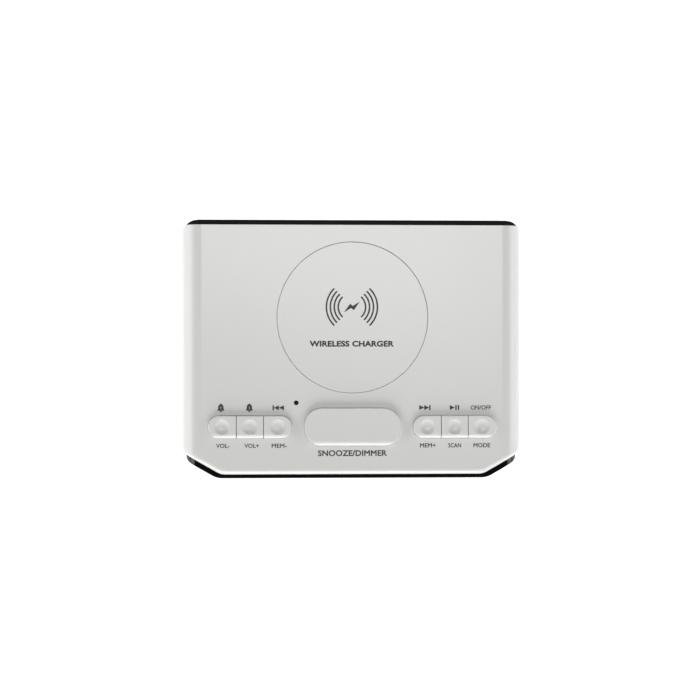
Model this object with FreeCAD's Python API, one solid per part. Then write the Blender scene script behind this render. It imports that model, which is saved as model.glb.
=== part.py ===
"""Bedside clock radio with a charging pad on its top face, as separate sub-parts.

A white sleeve wraps the top and sides, a black tray closes the underside, and black panels close the front
and the rear. The front corners are cut back by angled facets. +Z is up, the display faces -Y, +X is to the
user's right, and the origin is at the middle of the footprint on the table. All lengths are in millimetres.
"""

import FreeCAD
import Part

import math
import os

V = FreeCAD.Vector
X, Y, Z = V(1, 0, 0), V(0, 1, 0), V(0, 0, 1)

# ---- driving dimensions: the case ----
WIDTH = 165.0
DEPTH = 124.4
BODY_TOP = 62.0
FOOT_DROP = 2.0
WALL = 2.6
FRONT_PROUD = 1.9            # how far the black front panel stands out of the sleeve
FACET_PROUD = 2.6            # the same, on its facets
REAR_PROUD = 2.4             # the same, for the rear panel
PANEL_SKIN = 0.9             # the front panel's thickness within the sleeve
TOP_RADIUS = 10.0            # long top edges of the sleeve
BOTTOM_RADIUS = 8.0
REAR_RADIUS = 8.0            # upright rear corners, seen from above
FACET_RUN = 19.2             # facet, measured along X
FACET_RISE = 11.0            # facet, measured along Y
FACET_CORNER = 8.0           # rounding between the facets and the front
PANEL_INSET = 2.2            # how far the front panel's outline is drawn in from the case's
PANEL_SIDE_CORNER = 5.0      # rounding of its facets into those ends
FRONT_EDGE_RADIUS = 2.6      # softened front edge of the sleeve
PANEL_EDGE_RADIUS = 0.5
SPLIT_Z = 16.0               # joint line between sleeve and tray
SPLIT_GAP = 0.3
LIP = 1.5                    # thickness of the lips that key one casing part into the next
TRAY_LIP_FRONT, TRAY_LIP_REAR = -38.0, 28.0
FIT = 0.15                   # assembly clearance per side

# ---- driving dimensions: the top face ----
PAD_Y = 15.3
PAD_RADIUS = 36.3
PAD_THICKNESS = 1.3
PAD_GAP = 0.22
SNOOZE_LENGTH = 46.5
SNOOZE_WIDTH = 18.3
SNOOZE_CORNER = 8.4
SNOOZE_PROUD = 1.9
KEY_ROW_Y = -37.4
KEY_BANK_X = 49.3            # middle of each bank of three keys
KEY_BANK_LENGTH = 40.1
KEY_BANK_WIDTH = 11.0
KEY_BANK_CORNER = 5.2
KEY_PROUD = 1.7
KEY_DIVIDE = 6.5             # from the bank's middle to the gap between two keys
KEY_GAP = 0.26
KEY_CLEARANCE = 0.12
MOUTH_BEVEL = 0.10           # softened edge round each key opening
KEY_DISH_RADIUS = 3.75
KEY_DISH_DEPTH = 1.0
KEY_EDGE_RADIUS = 0.6
KEY_ROLL_RUN, KEY_ROLL_DROP = 2.4, 1.3           # broad roll-off along the front of the keys
SNOOZE_EDGE_RADIUS = 0.6
SNOOZE_ROLL_RUN, SNOOZE_ROLL_DROP = 2.8, 1.5
DISH_RIM_RADIUS = 1.0
KEY_TRAVEL = 0.5
SWITCH_HEIGHT = 3.5
SWITCH_SIDE = 6.2
PIN_RADIUS = 1.5
MIC_X, MIC_Y = -27.1, -25.8
MIC_HOLE_RADIUS = 1.15

# ---- driving dimensions: the front ----
LENS_HALF = 42.0
LENS_LOW, LENS_HIGH = 10.0, 54.0
LENS_CORNER = 4.0
LENS_THICKNESS = 1.2
LENS_LEDGE = 3.0
SLOT_PITCH = 2.9
SLOT_WIDTH = 1.4
SLOT_COUNT = 14
SLOT_START, SLOT_END = 48.5, 76.8
BAFFLE_FRONT = -49.6
BAFFLE_THICKNESS = 2.0
DIGIT_HEIGHT = 23.0
DIGIT_WIDTH = 12.6
DIGIT_PITCH = 15.6
DIGIT_Z = 32.0
COLON_ROOM = 1.6
BAR_HALF_THICKNESS = 1.2

# ---- driving dimensions: the inside ----
SPEAKER_X, SPEAKER_Z = 57.0, 27.5
SPEAKER_FLANGE = 40.0
SPEAKER_CONE_RADIUS = 15.5
SPEAKER_DEPTH = 21.0
BOARD_Z = 11.0               # underside of the main board
HEAD_SEAT = 8.0              # where the heads of the long case screws bear, above the table
BOARD_THICKNESS = 1.6
KEY_BOARD_TOP = 52.0
COIL_RADIUS = 25.0
JACK_Z = 17.4
DC_X, CHARGE_X, AUX_X = -32.0, 0.0, 30.0
AUX_BORE_RADIUS = 1.8
AUX_BORE_LENGTH = 13.0
CAP_X, CAP_Y = -36.0, 18.0
CAP_RADIUS = 12.5
CAP_TURN = 35.0

HALF = WIDTH / 2
FRONT = -DEPTH / 2
REAR = DEPTH / 2
SLEEVE_FRONT = FRONT + FRONT_PROUD
SLEEVE_REAR = REAR - REAR_PROUD
CEILING = BODY_TOP - WALL
FLOOR = FOOT_DROP + WALL
FACET_START = HALF - FACET_RUN
FACET_ANGLE = math.atan2(FACET_RISE, FACET_RUN)
REAR_OPENING = HALF - REAR_RADIUS
FAR = 200.0
PLAN_LOW, PLAN_HIGH = -5.0, 80.0     # height range of the upright cutting shapes


# ---------------------------------------------------------------- geometry helpers

def box(x0, x1, y0, y1, z0, z1):
    """Box between two opposite corners."""
    return Part.makeBox(x1 - x0, y1 - y0, z1 - z0, V(x0, y0, z0))


def rod(radius, start, length, axis=Z):
    """Cylinder from a start point along an axis."""
    return Part.makeCylinder(radius, length, V(*start), axis)


def fused(shapes):
    """One solid from overlapping or touching shapes, with seams between coplanar faces removed."""
    whole = shapes[0].multiFuse(shapes[1:]) if len(shapes) > 1 else shapes[0]
    return whole.removeSplitter()


def less(shape, tools):
    """The shape with every tool cut away."""
    return shape.cut(Part.makeCompound(tools)) if tools else shape


def rounded_wire(points, radii, place):
    """Closed wire through 2-D corners, each rounded by its own radius; place turns (u, v) into a vector."""
    count = len(points)
    starts, mids, ends = [], [], []
    for i in range(count):
        corner = V(*points[i], 0)
        before = V(*points[i - 1], 0) - corner
        after = V(*points[(i + 1) % count], 0) - corner
        before.normalize()
        after.normalize()
        half_angle = before.getAngle(after) / 2
        reach = radii[i] / math.tan(half_angle)
        bisector = before + after
        bisector.normalize()
        starts.append(corner + before * reach)
        ends.append(corner + after * reach)
        mids.append(corner + bisector * (radii[i] / math.sin(half_angle) - radii[i]))
    edges = []
    for i in range(count):
        start, mid, end = (place(p.x, p.y) for p in (starts[i], mids[i], ends[i]))
        if radii[i] > 0:
            edges.append(Part.Arc(start, mid, end).toShape())
        following = starts[(i + 1) % count]
        if (following - ends[i]).Length > 1e-6:
            edges.append(Part.LineSegment(end, place(following.x, following.y)).toShape())
    return Part.Wire(edges)


def rounded_rectangle(u0, u1, v0, v1, radii):
    """Corners of a rectangle with its radii in the order low-low, high-low, high-high, low-high."""
    corners = [(u0, v0), (u1, v0), (u1, v1), (u0, v1)]
    return corners, radii if isinstance(radii, (list, tuple)) else [radii] * 4


def plate(u0, u1, v0, v1, radius, low, high, normal="z"):
    """Rounded rectangular plate whose thickness runs from low to high along the normal axis."""
    corners, radii = rounded_rectangle(u0, u1, v0, v1, radius)
    place = {"z": lambda u, v: V(u, v, low), "y": lambda u, v: V(u, low, v), "x": lambda u, v: V(low, u, v)}
    along = {"z": Z, "y": Y, "x": X}[normal] * (high - low)
    return Part.Face(rounded_wire(corners, radii, place[normal])).extrude(along)


def turned(profile, start, axis_up):
    """Solid of revolution: profile is (radius, height) corners, turned about an axis through start."""
    points = [V(r, 0, h) for r, h in profile]
    wire = Part.makePolygon(points + [points[0]])
    solid = Part.Face(wire).revolve(V(0, 0, 0), Z, 360)
    if solid.Volume < 0:
        solid.reverse()
    solid.Placement = FreeCAD.Placement(V(*start), FreeCAD.Rotation(Z, axis_up))
    return solid


def case_section(inset, y0, y1):
    """The case's rounded cross-section, taken in by inset all round and run from y0 to y1."""
    top = max(TOP_RADIUS - inset, 0.5)
    bottom = max(BOTTOM_RADIUS - inset, 0.5)
    corners, radii = rounded_rectangle(
        -HALF + inset, HALF - inset, FOOT_DROP + inset, BODY_TOP - inset, [bottom, bottom, top, top]
    )
    wire = rounded_wire(corners, radii, lambda u, v: V(u, y0, v))
    return Part.Face(wire).extrude(Y * (y1 - y0))


def facet_plan(offset, rear, facet_offset=None, wide=HALF + 5.0, side_corner=0.0):
    """Upright prism whose front is flat in the middle and faceted at both ends, moved out by offset.

    The facets are moved out by facet_offset, if it is given. The ends lie at plus and minus wide.
    """
    facet_offset = offset if facet_offset is None else facet_offset
    slope = math.tan(FACET_ANGLE)
    front = SLEEVE_FRONT - offset
    shift = facet_offset / math.cos(FACET_ANGLE)
    bend = FACET_START + (shift - offset) / slope
    end = SLEEVE_FRONT - shift + (wide - FACET_START) * slope
    points = [(-wide, rear), (-wide, end), (-bend, front), (bend, front), (wide, end), (wide, rear)]
    corner = FACET_CORNER + offset
    radii = [0, side_corner, corner, corner, side_corner, 0]
    wire = rounded_wire(points, radii, lambda u, v: V(u, v, PLAN_LOW))
    return Part.Face(wire).extrude(Z * (PLAN_HIGH - PLAN_LOW))


def rear_corner_cutters(inset=0.0):
    """What rounding the two upright rear corners takes away."""
    radius = REAR_RADIUS - inset
    centre_x, centre_y = HALF - REAR_RADIUS, REAR - REAR_RADIUS
    cutters = []
    for side in (-1, 1):
        x0, x1 = sorted((side * centre_x, side * (HALF + 5)))
        block = box(x0, x1, centre_y, REAR + 5, -5, 80)
        cutters.append(block.cut(rod(radius, (side * centre_x, centre_y, -6), 90)))
    return cutters


def soften(solid, radius, chosen):
    """The solid with the edges that chosen accepts rounded off."""
    edges = [e for e in solid.Edges if chosen(e)]
    return solid.makeFillet(radius, edges)


def near_plane(edge, axis, value, tolerance=0.01):
    """True if the whole edge lies on the plane where that coordinate has that value."""
    lows = {"x": edge.BoundBox.XMin, "y": edge.BoundBox.YMin, "z": edge.BoundBox.ZMin}
    highs = {"x": edge.BoundBox.XMax, "y": edge.BoundBox.YMax, "z": edge.BoundBox.ZMax}
    return abs(lows[axis] - value) < tolerance and abs(highs[axis] - value) < tolerance


def save(node, shape):
    """Writes one sub-part, after checking that it is closed solids of positive volume."""
    solids = shape.Solids
    whole = solids[0] if len(solids) == 1 else Part.makeCompound(solids)
    good = bool(solids) and all(s.isValid() and s.Volume > 0 for s in solids)
    print(f"{node:24s} solids {len(solids):3d}  volume {whole.Volume:11.1f}  {'ok' if good else 'BAD'}")
    whole.exportStep(f"parts/{node}.step")


# ---------------------------------------------------------------- casing

def front_rim(solid):
    """The outer edges of the forward-facing faces, which run once round the front of the case."""
    uses = {}
    for face in solid.Faces:
        u0, u1, v0, v1 = face.ParameterRange
        normal = face.normalAt((u0 + u1) / 2, (v0 + v1) / 2)
        if normal.y < -0.3 and abs(normal.z) < 0.01:
            for edge in face.Edges:
                uses.setdefault(edge.hashCode(), []).append(edge)
    return [edges[0] for edges in uses.values() if len(edges) == 1]


def sleeve_tube():
    """Whole wrap-round case, open at the front and the rear, before it is split into sleeve and tray."""
    outer = case_section(0, FRONT - 5, SLEEVE_REAR).common(facet_plan(0, REAR + 5))
    rim = front_rim(outer)
    outer = outer.makeFillet(FRONT_EDGE_RADIUS, rim)
    outer = less(outer, rear_corner_cutters())
    inner = case_section(WALL, FRONT - 6, SLEEVE_REAR)
    inner = less(inner, rear_corner_cutters(WALL))
    rear_way = case_section(WALL, 0, REAR + 5).common(box(-REAR_OPENING, REAR_OPENING, 0, REAR + 5, 0, 80))
    return less(outer, [inner, rear_way])


def rear_screw_places():
    """Centres of the four screws that hold the rear cover."""
    return [(side * 69.5, z) for side in (-1, 1) for z in (10.0, 54.0)]


def case_screw_places():
    """Centres of the four long screws that join tray and sleeve."""
    return [(-70.5, 34.0), (70.5, 34.0), (-34.0, -15.0), (34.0, -15.0)]


def key_board_screw_places():
    """Centres of the screws that hold the key board under the top face."""
    return [(-70.0, -27.0), (70.0, -27.0), (-14.0, -24.5), (14.0, -24.5)]


def tray_screw_places():
    """Centres of the screws that hold the coil tray under the top face."""
    return [(sx * 30.0, PAD_Y + sy * 22.0) for sx in (-1, 1) for sy in (-1, 1)]


def key_bank_outline(grow, corner_grow, low, high, side):
    """The outline of one bank of three keys, grown by a clearance and run from low to high."""
    x0 = side * KEY_BANK_X - KEY_BANK_LENGTH / 2 - grow
    x1 = side * KEY_BANK_X + KEY_BANK_LENGTH / 2 + grow
    y0 = KEY_ROW_Y - KEY_BANK_WIDTH / 2 - grow
    y1 = KEY_ROW_Y + KEY_BANK_WIDTH / 2 + grow
    return plate(x0, x1, y0, y1, KEY_BANK_CORNER + corner_grow, low, high)


def snooze_outline(grow, low, high):
    """The outline of the snooze bar, grown by a clearance and run from low to high."""
    return plate(
        -SNOOZE_LENGTH / 2 - grow, SNOOZE_LENGTH / 2 + grow,
        KEY_ROW_Y - SNOOZE_WIDTH / 2 - grow, KEY_ROW_Y + SNOOZE_WIDTH / 2 + grow,
        SNOOZE_CORNER + grow, low, high,
    )


def opening_tools():
    """Cuts for the snooze bar and the two key banks, with a small bevel round each mouth."""
    tools = []
    for step in (0, 1):
        grow = KEY_CLEARANCE + MOUTH_BEVEL * step
        low = CEILING - 1 if step == 0 else BODY_TOP - MOUTH_BEVEL
        tools.append(snooze_outline(grow, low, BODY_TOP + 1))
        tools += [key_bank_outline(grow, grow, low, BODY_TOP + 1, side) for side in (-1, 1)]
    return tools


def upper_case(tube):
    """White sleeve: top face and side walls, with the pad recess, key openings and screw bosses."""
    shell = tube.common(box(-FAR, FAR, -FAR, FAR, SPLIT_Z + SPLIT_GAP, FAR))
    case_bosses = [rod(3.6, (x, y, SPLIT_Z), CEILING + 0.5 - SPLIT_Z) for x, y in case_screw_places()]
    case_holes = [rod(1.15, (x, y, SPLIT_Z - 1), 14.0) for x, y in case_screw_places()]
    side_webs = [box(s * 75.5 - 5.0, s * 75.5 + 5.0, 33.0, 35.0, SPLIT_Z, CEILING + 0.5) for s in (-1, 1)]
    side_webs = [web.common(case_section(WALL - 0.5, -60, 60)) for web in side_webs]
    short_bosses = [
        rod(2.6, (x, y, KEY_BOARD_TOP), CEILING + 0.5 - KEY_BOARD_TOP) for x, y in key_board_screw_places()
    ]
    short_holes = [rod(0.85, (x, y, KEY_BOARD_TOP - 1), 6.0) for x, y in key_board_screw_places()]
    tray_bosses = [rod(2.6, (x, y, CEILING - 2.4), 2.9) for x, y in tray_screw_places()]
    tray_holes = [rod(0.85, (x, y, CEILING - 3), 3.6) for x, y in tray_screw_places()]
    rear_bosses = []
    rear_holes = []
    for x, z in rear_screw_places():
        if z > SPLIT_Z:
            rear_bosses.append(box(x - 3.4, x + 3.4, SLEEVE_REAR - 14, SLEEVE_REAR, z - 3.4, CEILING + 0.5))
            rear_holes.append(rod(1.15, (x, SLEEVE_REAR - 12, z), 13.0, Y))
    mic_ring = rod(4.4, (MIC_X, MIC_Y, CEILING - 2.2), 2.7).cut(rod(3.15, (MIC_X, MIC_Y, CEILING - 3), 4.0))
    shell = fused([shell, *case_bosses, *side_webs, *short_bosses, *tray_bosses, *rear_bosses, mic_ring])
    recess = rod(PAD_RADIUS + PAD_GAP, (0, PAD_Y, BODY_TOP - PAD_THICKNESS), 3.0)
    pad_peg_holes = [rod(1.5, (x, PAD_Y, CEILING - 1), 3.0) for x in (-31.5, 31.5)]
    mic_hole = rod(MIC_HOLE_RADIUS, (MIC_X, MIC_Y, CEILING - 1), 5.0)
    holes = [*case_holes, *short_holes, *tray_holes, *rear_holes]
    return less(shell, [recess, mic_hole, *pad_peg_holes, *holes, *opening_tools()])


def lower_case(tube):
    """Black tray: floor and low side walls, with bosses, vents, foot seats and the cell bay."""
    shell = tube.common(box(-FAR, FAR, -FAR, FAR, -FAR, SPLIT_Z))
    key_lip = case_section(WALL + FIT, TRAY_LIP_FRONT, TRAY_LIP_REAR)
    key_lip = key_lip.cut(case_section(WALL + FIT + LIP, FRONT, REAR))
    rising = [key_lip.common(box(s * 74 - 8, s * 74 + 8, -FAR, FAR, 12.0, SPLIT_Z + 2.2)) for s in (-1, 1)]
    bridge = case_section(WALL - 0.4, TRAY_LIP_FRONT, TRAY_LIP_REAR)
    bridge = bridge.cut(case_section(WALL + FIT + LIP, FRONT, REAR))
    roots = [bridge.common(box(s * 74 - 10, s * 74 + 10, -FAR, FAR, 12.0, SPLIT_Z - 1.5)) for s in (-1, 1)]
    posts = [rod(4.2, (x, y, FLOOR - 0.5), SPLIT_Z - FIT - FLOOR + 0.5) for x, y in case_screw_places()]
    board_posts = [rod(2.8, (x, y, FLOOR - 0.5), BOARD_Z - FLOOR + 0.5) for x, y in board_screw_places()]
    bay_wall = rod(15.6, (CAP_X, CAP_Y, FLOOR - 0.5), 5.3)
    rear_bosses = []
    rear_holes = []
    for x, z in rear_screw_places():
        if z < SPLIT_Z:
            rear_bosses.append(box(x - 3.4, x + 3.4, SLEEVE_REAR - 14, SLEEVE_REAR, FLOOR - 0.5, z + 3.4))
            rear_holes.append(rod(1.15, (x, SLEEVE_REAR - 12, z), 13.0, Y))
    shell = fused([shell, *rising, *roots, *posts, *board_posts, bay_wall, *rear_bosses])
    tools = list(rear_holes)
    tools += [rod(0.85, (x, y, BOARD_Z - 5), 6.0) for x, y in board_screw_places()]
    for x, y in case_screw_places():
        tools.append(rod(1.6, (x, y, 0), SPLIT_Z + 5))
        tools.append(rod(3.3, (x, y, 0), HEAD_SEAT))
    tools += [rod(6.15, (x, y, 0), FOOT_DROP + 1.0) for x, y in foot_places()]
    tools += bay_tools()
    tools += vent_tools()
    return less(shell, tools)


def bay_tools():
    """Stepped hole for the cell bay and its bayonet cap, with two entry notches."""
    seat = rod(CAP_RADIUS + 0.3, (CAP_X, CAP_Y, 0), FOOT_DROP + 1.4)
    throat = rod(11.2, (CAP_X, CAP_Y, 0), 6.0)
    lug_room = rod(13.4, (CAP_X, CAP_Y, FLOOR), 1.5)
    cell_room = rod(10.3, (CAP_X, CAP_Y, FLOOR), 8.0)
    notches = []
    for turn in (0, 180):
        wedge = box(-3.0, 3.0, 0, 13.4, 0, FLOOR + 1.5)
        wedge.rotate(V(0, 0, 0), Z, turn + CAP_TURN)
        wedge.translate(V(CAP_X, CAP_Y, 0))
        notches.append(wedge.common(rod(13.4, (CAP_X, CAP_Y, FOOT_DROP + 1.4), 4.0)))
    return [seat, throat, lug_room, cell_room, *notches]


def vent_tools():
    """Two fields of vent slots through the floor."""
    slots = []
    for side in (-1, 1):
        for i in range(7):
            x = side * 58.0 + (i - 3) * 3.6
            slots.append(plate(x - 0.8, x + 0.8, -34, -10, 0.8, 0, FLOOR + 1))
    for i in range(6):
        x = 18.0 + i * 5.0
        slots.append(plate(x - 1.0, x + 1.0, 6, 32, 1.0, 0, FLOOR + 1))
    return slots


def foot_places():
    """Centres of the four rubber feet."""
    return [(-66.0, 50.0), (66.0, 50.0), (-60.0, -47.0), (60.0, -47.0)]


def rubber_feet():
    """Four glued rubber discs with a rounded rim."""
    feet = []
    for x, y in foot_places():
        disc = rod(6.0, (x, y, 0), FOOT_DROP + 1.0)
        feet.append(soften(disc, 0.5, lambda e: near_plane(e, "z", 0)))
    return Part.makeCompound(feet)


def panel_lip(y0, y1):
    """Ring that keys a front or rear panel into the case."""
    ring = case_section(WALL + FIT, y0, y1)
    return ring.cut(case_section(WALL + FIT + LIP, y0 - 1, y1 + 1))


def front_bezel():
    """Gloss black front panel that wraps round the facets, with the lens seat and the speaker slots."""
    outline = case_section(PANEL_INSET, FRONT - 5, REAR)
    plan = facet_plan(FRONT_PROUD, 0, FACET_PROUD, HALF - PANEL_INSET - 0.05, PANEL_SIDE_CORNER)
    shell = outline.common(plan)
    rim = [e for e in front_rim(shell) if e.BoundBox.XLength > 0.01]
    shell = shell.makeFillet(PANEL_EDGE_RADIUS, rim)
    front_wall = shell.cut(facet_plan(0, REAR))
    skin = case_section(WALL + FIT, FRONT, SLEEVE_FRONT + 16).common(facet_plan(0.2, REAR))
    skin = skin.cut(facet_plan(-PANEL_SKIN, REAR))
    lip = panel_lip(FRONT, SLEEVE_FRONT + 16).common(facet_plan(0.5, SLEEVE_FRONT + 16))
    lip = lip.cut(box(-FACET_START + 4, FACET_START - 4, SLEEVE_FRONT + 6, REAR, 0, 80))
    pillars = [
        rod(2.2, (side * 44.6, SLEEVE_FRONT - 0.5, z), BAFFLE_FRONT - SLEEVE_FRONT + 0.5, Y)
        for side in (-1, 1) for z in (9.5, 46.0)
    ]
    body = fused([front_wall, skin, lip, *pillars])
    seat = plate(
        -LENS_HALF - FIT, LENS_HALF + FIT, LENS_LOW - FIT, LENS_HIGH + FIT, LENS_CORNER,
        FRONT - 1, FRONT + LENS_THICKNESS, "y",
    )
    window = plate(
        -LENS_HALF + LENS_LEDGE, LENS_HALF - LENS_LEDGE, LENS_LOW + LENS_LEDGE, LENS_HIGH - LENS_LEDGE,
        2.0, FRONT - 1, SLEEVE_FRONT + 3, "y",
    )
    return less(body, [seat, window, *slot_tools()])


def slot_tools():
    """Rows of sound slots that run round each facet corner."""
    tools = []
    first = (LENS_LOW + LENS_HIGH) / 2 - (SLOT_COUNT - 1) / 2 * SLOT_PITCH
    for side in (-1, 1):
        for i in range(SLOT_COUNT):
            z = first + i * SLOT_PITCH
            x0, x1 = sorted((side * SLOT_START, side * slot_end(z)))
            tools.append(plate(x0, x1, z - SLOT_WIDTH / 2, z + SLOT_WIDTH / 2, SLOT_WIDTH / 2 - 0.01,
                               FRONT - 1, SLEEVE_FRONT + 12, "y"))
    return tools


def slot_end(z):
    """Outer end of the slot at height z, drawn in near the top and bottom to follow the case corners."""
    middle = (LENS_LOW + LENS_HIGH) / 2
    reach = abs(z - middle) / (middle - LENS_LOW)
    return SLOT_END - 6.0 * max(reach - 0.55, 0) / 0.45


def display_lens():
    """Smoked acrylic window, flush with the front panel."""
    lens = plate(-LENS_HALF, LENS_HALF, LENS_LOW, LENS_HIGH, LENS_CORNER, FRONT, FRONT + LENS_THICKNESS, "y")
    return soften(lens, 0.3, lambda e: near_plane(e, "y", FRONT))


def rear_cover():
    """Black rear panel with sockets, vents, screw holes and the aerial wire's hole."""
    skin = case_section(0.12, SLEEVE_REAR, REAR)
    skin = soften(skin, 0.7, lambda e: near_plane(e, "y", REAR))
    skin = less(skin, rear_corner_cutters(0.12))
    lip = panel_lip(SLEEVE_REAR - 4, SLEEVE_REAR + 0.5)
    opening = box(-REAR_OPENING + FIT, REAR_OPENING - FIT, 0, REAR, 0, 80)
    lip = lip.common(opening)
    for side in (-1, 1):
        x0, x1 = sorted((side * (REAR_OPENING - FIT), side * (REAR_OPENING - FIT - LIP)))
        lip = lip.fuse(box(x0, x1, SLEEVE_REAR - 4, SLEEVE_REAR + 0.5, 20, 46))
    room = [box(x - 3.7, x + 3.7, 0, SLEEVE_REAR, z - 7, z + 7) for x, z in rear_screw_places()]
    body = fused([skin, less(lip, room)])
    tools = []
    for x, z in rear_screw_places():
        tools.append(rod(1.5, (x, SLEEVE_REAR - 1, z), 5.0, Y))
        tools.append(rod(2.7, (x, REAR - 1.2, z), 3.0, Y))
    tools.append(rod(4.6, (DC_X, SLEEVE_REAR - 6, JACK_Z), 12.0, Y))
    tools.append(box(CHARGE_X - 6.8, CHARGE_X + 6.8, SLEEVE_REAR - 6, REAR + 1, JACK_Z - 3.1, JACK_Z + 3.1))
    tools.append(rod(3.6, (AUX_X, SLEEVE_REAR - 6, JACK_Z), 12.0, Y))
    tools.append(rod(2.6, (52.0, SLEEVE_REAR - 6, JACK_Z), 12.0, Y))
    for row in range(7):
        for column in (-1, 0, 1):
            x, z = column * 30.0, 31.0 + row * 3.6
            tools.append(plate(x - 12.0, x + 12.0, z - 0.8, z + 0.8, 0.79, SLEEVE_REAR - 6, REAR + 1, "y"))
    return less(body, tools)


def charging_pad():
    """Flush round plate that a phone lies on, with two locating pegs."""
    disc = rod(PAD_RADIUS, (0, PAD_Y, BODY_TOP - PAD_THICKNESS), PAD_THICKNESS)
    disc = soften(disc, 0.25, lambda e: near_plane(e, "z", BODY_TOP))
    pegs = [rod(1.35, (x, PAD_Y, CEILING + 0.1), 2.0) for x in (-31.5, 31.5)]
    return fused([disc, *pegs])


def battery_cap():
    """Coin-slotted bayonet cap under the back-up cell, with two lugs that lock above the floor."""
    disc = rod(CAP_RADIUS, (CAP_X, CAP_Y, FOOT_DROP), 1.3)
    disc = soften(disc, 0.3, lambda e: near_plane(e, "z", FOOT_DROP))
    neck = rod(10.9, (CAP_X, CAP_Y, FOOT_DROP + 1.0), 2.8)
    bar = box(CAP_X - 2.5, CAP_X + 2.5, CAP_Y - 13.0, CAP_Y + 13.0, FLOOR + 0.15, FLOOR + 1.2)
    lugs = bar.common(rod(12.9, (CAP_X, CAP_Y, FLOOR), 2.0))
    body = fused([disc, neck, lugs])
    hollow = rod(9.4, (CAP_X, CAP_Y, FOOT_DROP + 2.2), 4.0)
    coin_slot = plate(CAP_X - 8.0, CAP_X + 8.0, CAP_Y - 1.1, CAP_Y + 1.1, 1.0, FOOT_DROP - 1, FOOT_DROP + 1.1)
    return less(body, [hollow, coin_slot])


# ---------------------------------------------------------------- keys

KEY_NAMES = {-1: ["vol_down", "vol_up", "mem_down"], 1: ["mem_up", "scan", "mode"]}
FLANGE_TOP = CEILING - 0.25
STEM_BOTTOM = KEY_BOARD_TOP + SWITCH_HEIGHT + KEY_TRAVEL + 1.0
STEM_RADIUS = 1.7


def key_edges(index):
    """Where one key of a bank starts and ends, measured from the bank's middle."""
    half = KEY_BANK_LENGTH / 2
    starts = [-half - 1, -KEY_DIVIDE + KEY_GAP / 2, KEY_DIVIDE + KEY_GAP / 2]
    ends = [-KEY_DIVIDE - KEY_GAP / 2, KEY_DIVIDE - KEY_GAP / 2, half + 1]
    return starts[index], ends[index]


def key_centre(side, index):
    """Middle of one key along X, which is also the middle of its switch."""
    half = KEY_BANK_LENGTH / 2
    start, end = key_edges(index)
    return side * KEY_BANK_X + (max(start, -half) + min(end, half)) / 2


def rolled(cap, front, top, run, drop):
    """The cap with its front edge rolled off by a broad cylinder that meets its top smoothly."""
    radius = (run ** 2 + drop ** 2) / (2 * drop)
    waste = box(-FAR, FAR, front - 5, front + run, top - radius, top + 1)
    return cap.cut(waste.cut(rod(radius, (-FAR, front + run, top - radius), 2 * FAR, X)))


def key(side, index):
    """One push key: dished cap, retaining flange inside the case and a stem down to its switch."""
    top = BODY_TOP + KEY_PROUD
    cap = key_bank_outline(0, 0, FLANGE_TOP - 0.5, top, side)
    cap = soften(cap, KEY_EDGE_RADIUS, lambda e: near_plane(e, "z", top))
    start, end = key_edges(index)
    x0, x1 = side * KEY_BANK_X + start, side * KEY_BANK_X + end
    cap = cap.common(box(x0, x1, -FAR, FAR, 0, FAR))
    bevel = 0.3
    for x, inward in ((x0, 1), (x1, -1)):
        corner = [V(x - inward, -60, top + 1), V(x + inward * bevel, -60, top + 1),
                  V(x + inward * bevel, -60, top), V(x, -60, top - bevel), V(x - inward, -60, top - bevel)]
        prism = Part.Face(Part.makePolygon(corner + [corner[0]])).extrude(Y * 60)
        cap = cap.cut(prism)
    centre = key_centre(side, index)
    ball_radius = (KEY_DISH_RADIUS ** 2 + KEY_DISH_DEPTH ** 2) / (2 * KEY_DISH_DEPTH)
    ball = Part.makeSphere(ball_radius, V(centre, KEY_ROW_Y, top - KEY_DISH_DEPTH + ball_radius))
    cap = cap.cut(ball)
    cap = soften(cap, DISH_RIM_RADIUS, lambda e: near_plane(e, "z", top) and is_dish_rim(e))
    cap = rolled(cap, KEY_ROW_Y - KEY_BANK_WIDTH / 2, top, KEY_ROLL_RUN, KEY_ROLL_DROP)
    flange = key_bank_outline(0.9, 0.9, FLANGE_TOP - 1.2, FLANGE_TOP, side)
    flange = flange.common(box(x0, x1, -FAR, FAR, 0, FAR))
    stem = rod(STEM_RADIUS, (centre, KEY_ROW_Y, STEM_BOTTOM), FLANGE_TOP - 1.0 - STEM_BOTTOM)
    return fused([cap, flange, stem])


def is_dish_rim(edge):
    """True for the round rim of a key's dish, and for nothing else on the key's top face."""
    curve = edge.Curve
    return isinstance(curve, Part.Circle) and abs(curve.Radius - KEY_DISH_RADIUS) < 0.05


def snooze_bar():
    """Wide snooze and dimmer bar with a rounded rim, a flange, a stem and two guide blades."""
    top = BODY_TOP + SNOOZE_PROUD
    cap = snooze_outline(0, FLANGE_TOP - 0.5, top)
    cap = soften(cap, SNOOZE_EDGE_RADIUS, lambda e: near_plane(e, "z", top))
    cap = rolled(cap, KEY_ROW_Y - SNOOZE_WIDTH / 2, top, SNOOZE_ROLL_RUN, SNOOZE_ROLL_DROP)
    flange = snooze_outline(0.9, FLANGE_TOP - 1.2, FLANGE_TOP)
    stem = rod(STEM_RADIUS, (0, KEY_ROW_Y, STEM_BOTTOM), FLANGE_TOP - 1.0 - STEM_BOTTOM)
    blades = [box(x - 0.6, x + 0.6, KEY_ROW_Y - 4, KEY_ROW_Y + 4, STEM_BOTTOM - 1.5, FLANGE_TOP - 1.0)
              for x in (-14.0, 14.0)]
    return fused([cap, flange, stem, *blades])


def switch_places():
    """Name and X of every push switch under the keys."""
    places = {"snooze": 0.0}
    for side, names in KEY_NAMES.items():
        for index, name in enumerate(names):
            places[name] = key_centre(side, index)
    return places


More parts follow.
